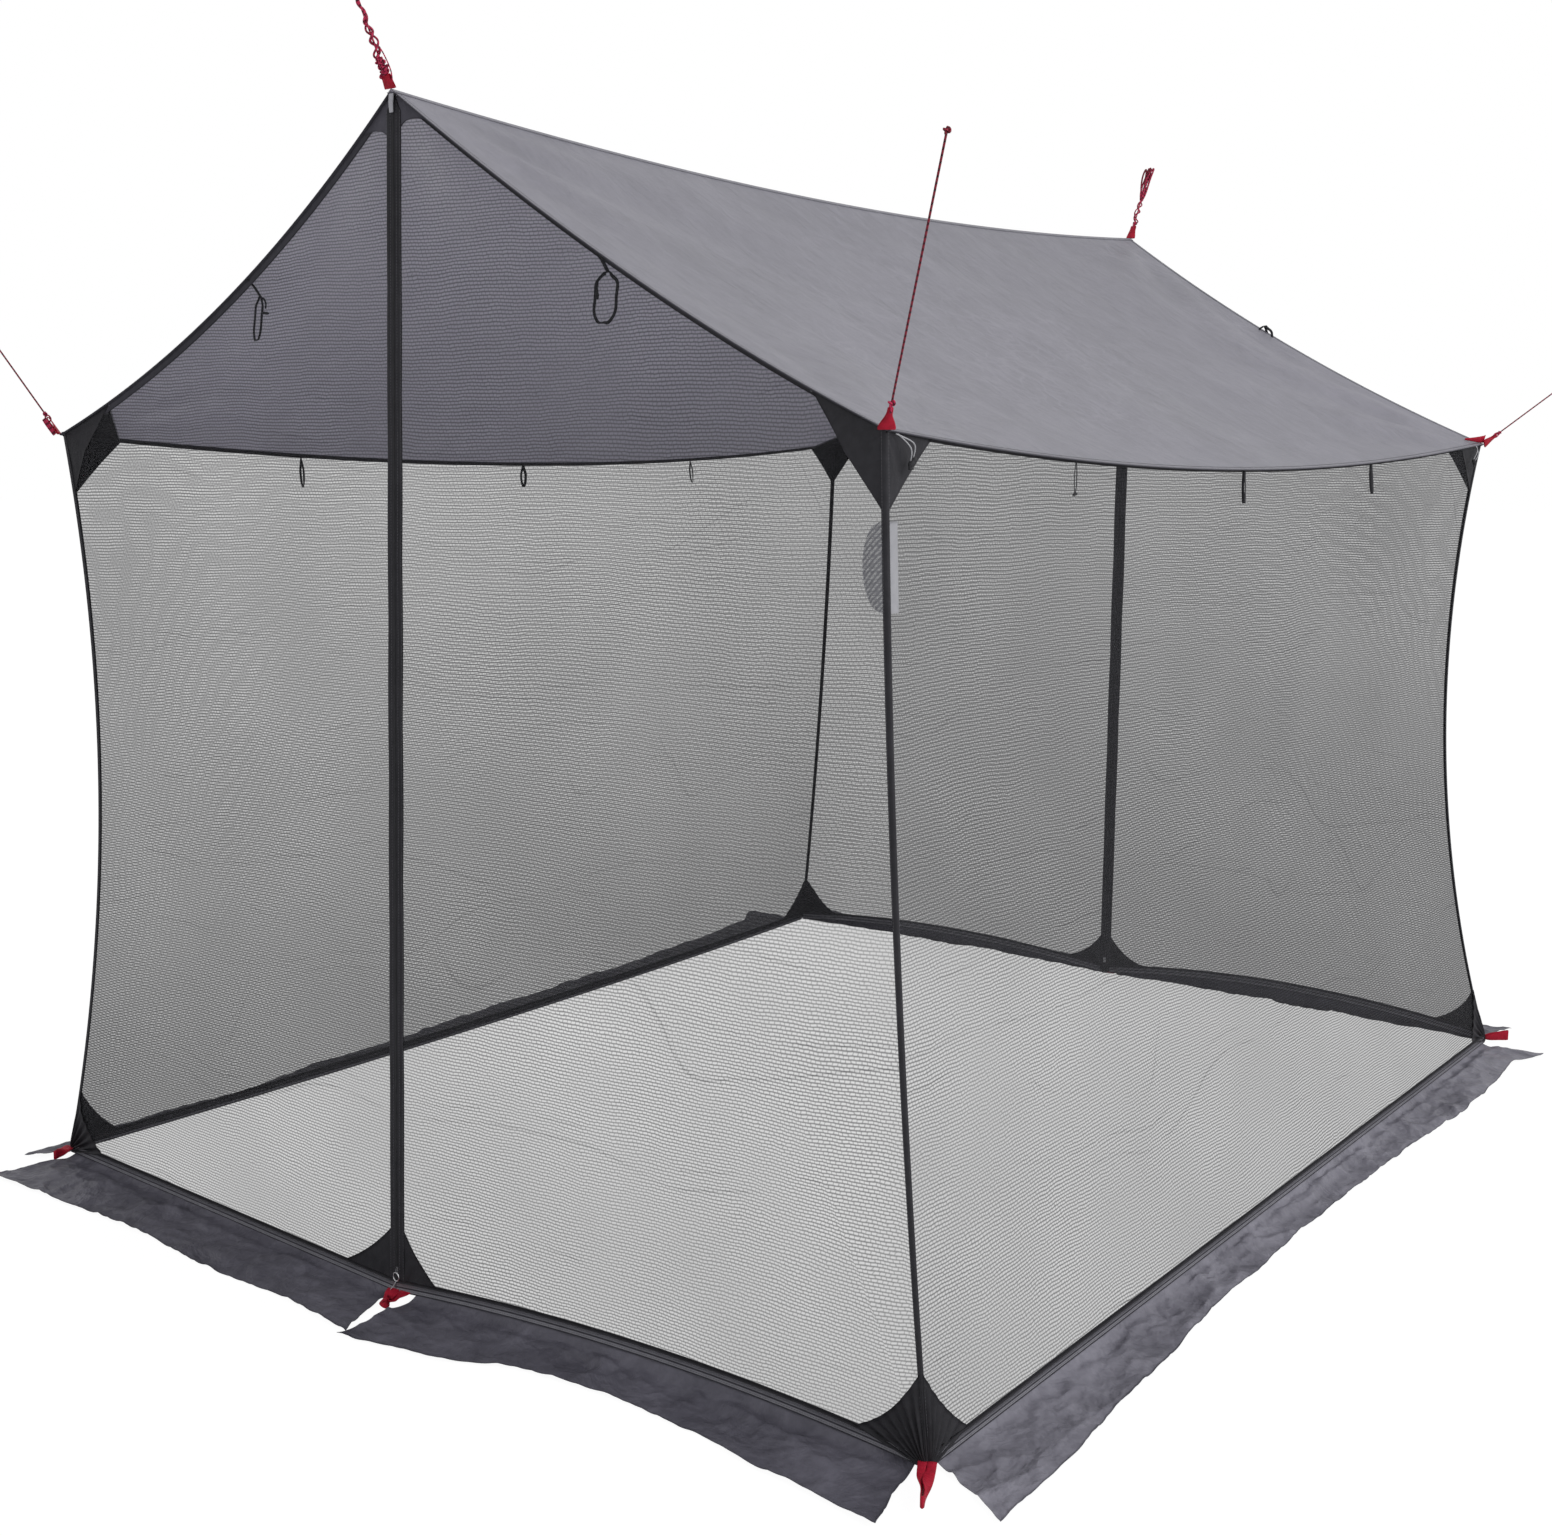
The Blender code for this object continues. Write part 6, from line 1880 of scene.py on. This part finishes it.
def bars_along(name, lines, material, **values):
    """Repeat the bar along lines given as (points, ways out), and return a plain mesh object."""
    points, edges, outs = [], [], []
    for path, normals in lines:
        first = len(points)
        points += [tuple(p + SHIFT) for p in path]
        outs += [c for n in normals for c in n]
        edges += [(first + i, first + i + 1) for i in range(len(path) - 1)]
    mesh = bpy.data.meshes.new(name)
    mesh.from_pydata(points, edges, [])
    mesh.attributes.new("out", "FLOAT_VECTOR", "POINT").data.foreach_set("vector", outs)
    piece = bpy.data.objects.new(name, mesh)
    bpy.context.scene.collection.objects.link(piece)
    modifier = piece.modifiers.new("bars", "NODES")
    modifier.node_group = BARS
    for key, value in values.items():
        modifier[BAR_SIZES[key]] = value
    modifier[BAR_SIZES["Material"]] = material
    result = bpy.data.meshes.new_from_object(piece.evaluated_get(bpy.context.evaluated_depsgraph_get()))
    piece.modifiers.remove(modifier)
    piece.data = result
    result.name = name
    print(name, len(result.polygons) // 6, "bars")
    return piece


# %% Stitches
for body, lines in stitch_rows.items():
    stitches = bars_along("stitches_" + body, lines, THREAD, Pitch=0.0056, Length=0.0038, Width=0.0007,
                          Height=0.0006)
    settle(stitches, body, "grey_tape")

# %% Zip coil, slider and pull cord
COIL = thread_finish("zip coil", (0.050, 0.050, 0.054), (0.016, 0.016, 0.018))
METAL = metal_finish("slider metal")
PULL_RADIUS = 0.0009
PULL_CORD = (  # how the cord hangs from the ring of the slider, to the left, outwards and down
    (0.0, 0.0, 0.0), (-0.0005, 0.003, -0.006), (-0.005, 0.008, -0.015), (-0.011, 0.012, -0.023),
    (-0.015, 0.0145, -0.0265))
for end_label, end in ENDS.items():
    top = gable_top(1.0, end, 0.0).z
    normal = door_normal(-1.0, end)
    heights = spread(80, HEM_HEIGHT + 0.004, top - 0.010)
    path = [Vector((0.0, door_drop(end, 0.0, z), z)) + normal * 0.0030 for z in heights]
    coil = bars_along("zip_coil_" + end_label, [(path, [normal] * len(path))], COIL,
                      Pitch=0.0021, Length=0.0011, Width=0.0052, Height=0.0016)
    settle(coil, end_label + "_door_left", "black_cloth")
    slider = bpy.data.objects["zip_slider_" + end_label]
    slider.data.materials.clear()
    slider.data.materials.append(METAL)
    low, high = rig.box("zip_slider_" + end_label)
    face_y = low[1] if end < 0.0 else high[1]
    start = Vector((0.0, face_y + -end * 0.0010, low[2] + 0.0022))
    path = smooth_path([start + Vector((x, end * y, z)) for x, y, z in PULL_CORD], 24)
    length = path_length(path)
    pull = tube("zip_pull_cord_" + end_label, path, PULL_RADIUS, SILVER_CORD, 8)
    tied = overhand(path[-1], (path[-1] - path[-2]).normalized(), Vector((1.0, 0.0, 0.0)), 0.0018)
    knot = tube("zip_pull_knot_" + end_label, tied, 0.0008, SILVER_CORD, 8)
    for piece in (pull, knot):
        settle(piece, "zip_slider_" + end_label, "black_webbing")
    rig.cord(pull, exit=path[0], length=length, diameter=2.0 * PULL_RADIUS, far_end="knot",
            stiffness="limp", lay="hanging", path=path, with_pieces=(knot,))
print("coils and sliders")

# %% [markdown]
# ## Floor and light
#
# The picture is a cut-out on white, so the sky and floor are white to the camera. The floor still
# takes a little of the tent's shadow. The sky lights the cloth evenly and one broad lamp on the right
# gives the folds a soft direction.

# %% Floor and light
world = bpy.data.worlds.new("studio")
bpy.context.scene.world = world
world.use_nodes = True
sky = Nodes(world.node_tree)
ray = sky.add("LightPath").outputs
straight = sky.math("MAXIMUM", ray["Is Camera Ray"], ray["Is Transmission Ray"])
seen = sky.math("MAXIMUM", straight, ray["Is Glossy Ray"])
ambient = sky.add("Background", {"Color": (0.98, 0.985, 1.0, 1.0), "Strength": 0.70})
white = sky.add("Background", {"Color": (1.0, 1.0, 1.0, 1.0), "Strength": 1.0})
chosen = sky.add("MixShader", {0: seen, 1: ambient.outputs[0], 2: white.outputs[0]})
sky.add("OutputWorld", {"Surface": chosen.outputs[0]})

paper = bpy.data.materials.new("white floor")
paper.use_nodes = True
sheet = Nodes(paper.node_tree)
matte = sheet.add("BsdfDiffuse", {"Color": (0.86, 0.86, 0.86, 1.0)})
glow = sheet.add("Emission", {"Strength": 1.06})
share = sheet.math("MULTIPLY", sheet.add("LightPath").outputs["Is Camera Ray"], 0.90)
mixed = sheet.add("MixShader", {0: share, 1: matte.outputs[0], 2: glow.outputs[0]})
sheet.add("OutputMaterial", {"Surface": mixed.outputs[0]})

floor_mesh = bpy.data.meshes.new("floor")
FLOOR_HALF, FLOOR_HEIGHT = 60.0, -0.0005
square = ((-1, -1), (1, -1), (1, 1), (-1, 1))
floor_corners = [(x * FLOOR_HALF, y * FLOOR_HALF, FLOOR_HEIGHT) for x, y in square]
floor_mesh.from_pydata(floor_corners, [], [(0, 1, 2, 3)])
floor_mesh.materials.append(paper)
floor = bpy.data.objects.new("floor", floor_mesh)
bpy.context.scene.collection.objects.link(floor)
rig.stage(floor)

lamp_data = bpy.data.lights.new("broad lamp", "AREA")
lamp_data.shape = "RECTANGLE"
lamp_data.size, lamp_data.size_y = 4.0, 3.0
lamp_data.energy = 200.0
lamp = bpy.data.objects.new("broad lamp", lamp_data)
lamp.location = (6.5, -0.5, 4.6)
lamp.rotation_euler = (Vector((0.6, -0.2, 0.8)) - lamp.location).to_track_quat("-Z", "Y").to_euler()
bpy.context.scene.collection.objects.link(lamp)
bpy.context.scene.view_settings.view_transform = "Standard"
print("studio ready")

# %% Box sizes and the end
box = [list(corner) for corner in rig.bounds()]
with open("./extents.json", "w") as out_file:
    json.dump({"cad": cad_box, "visual": box}, out_file)
print("visual box", [[round(x, 3) for x in corner] for corner in box])
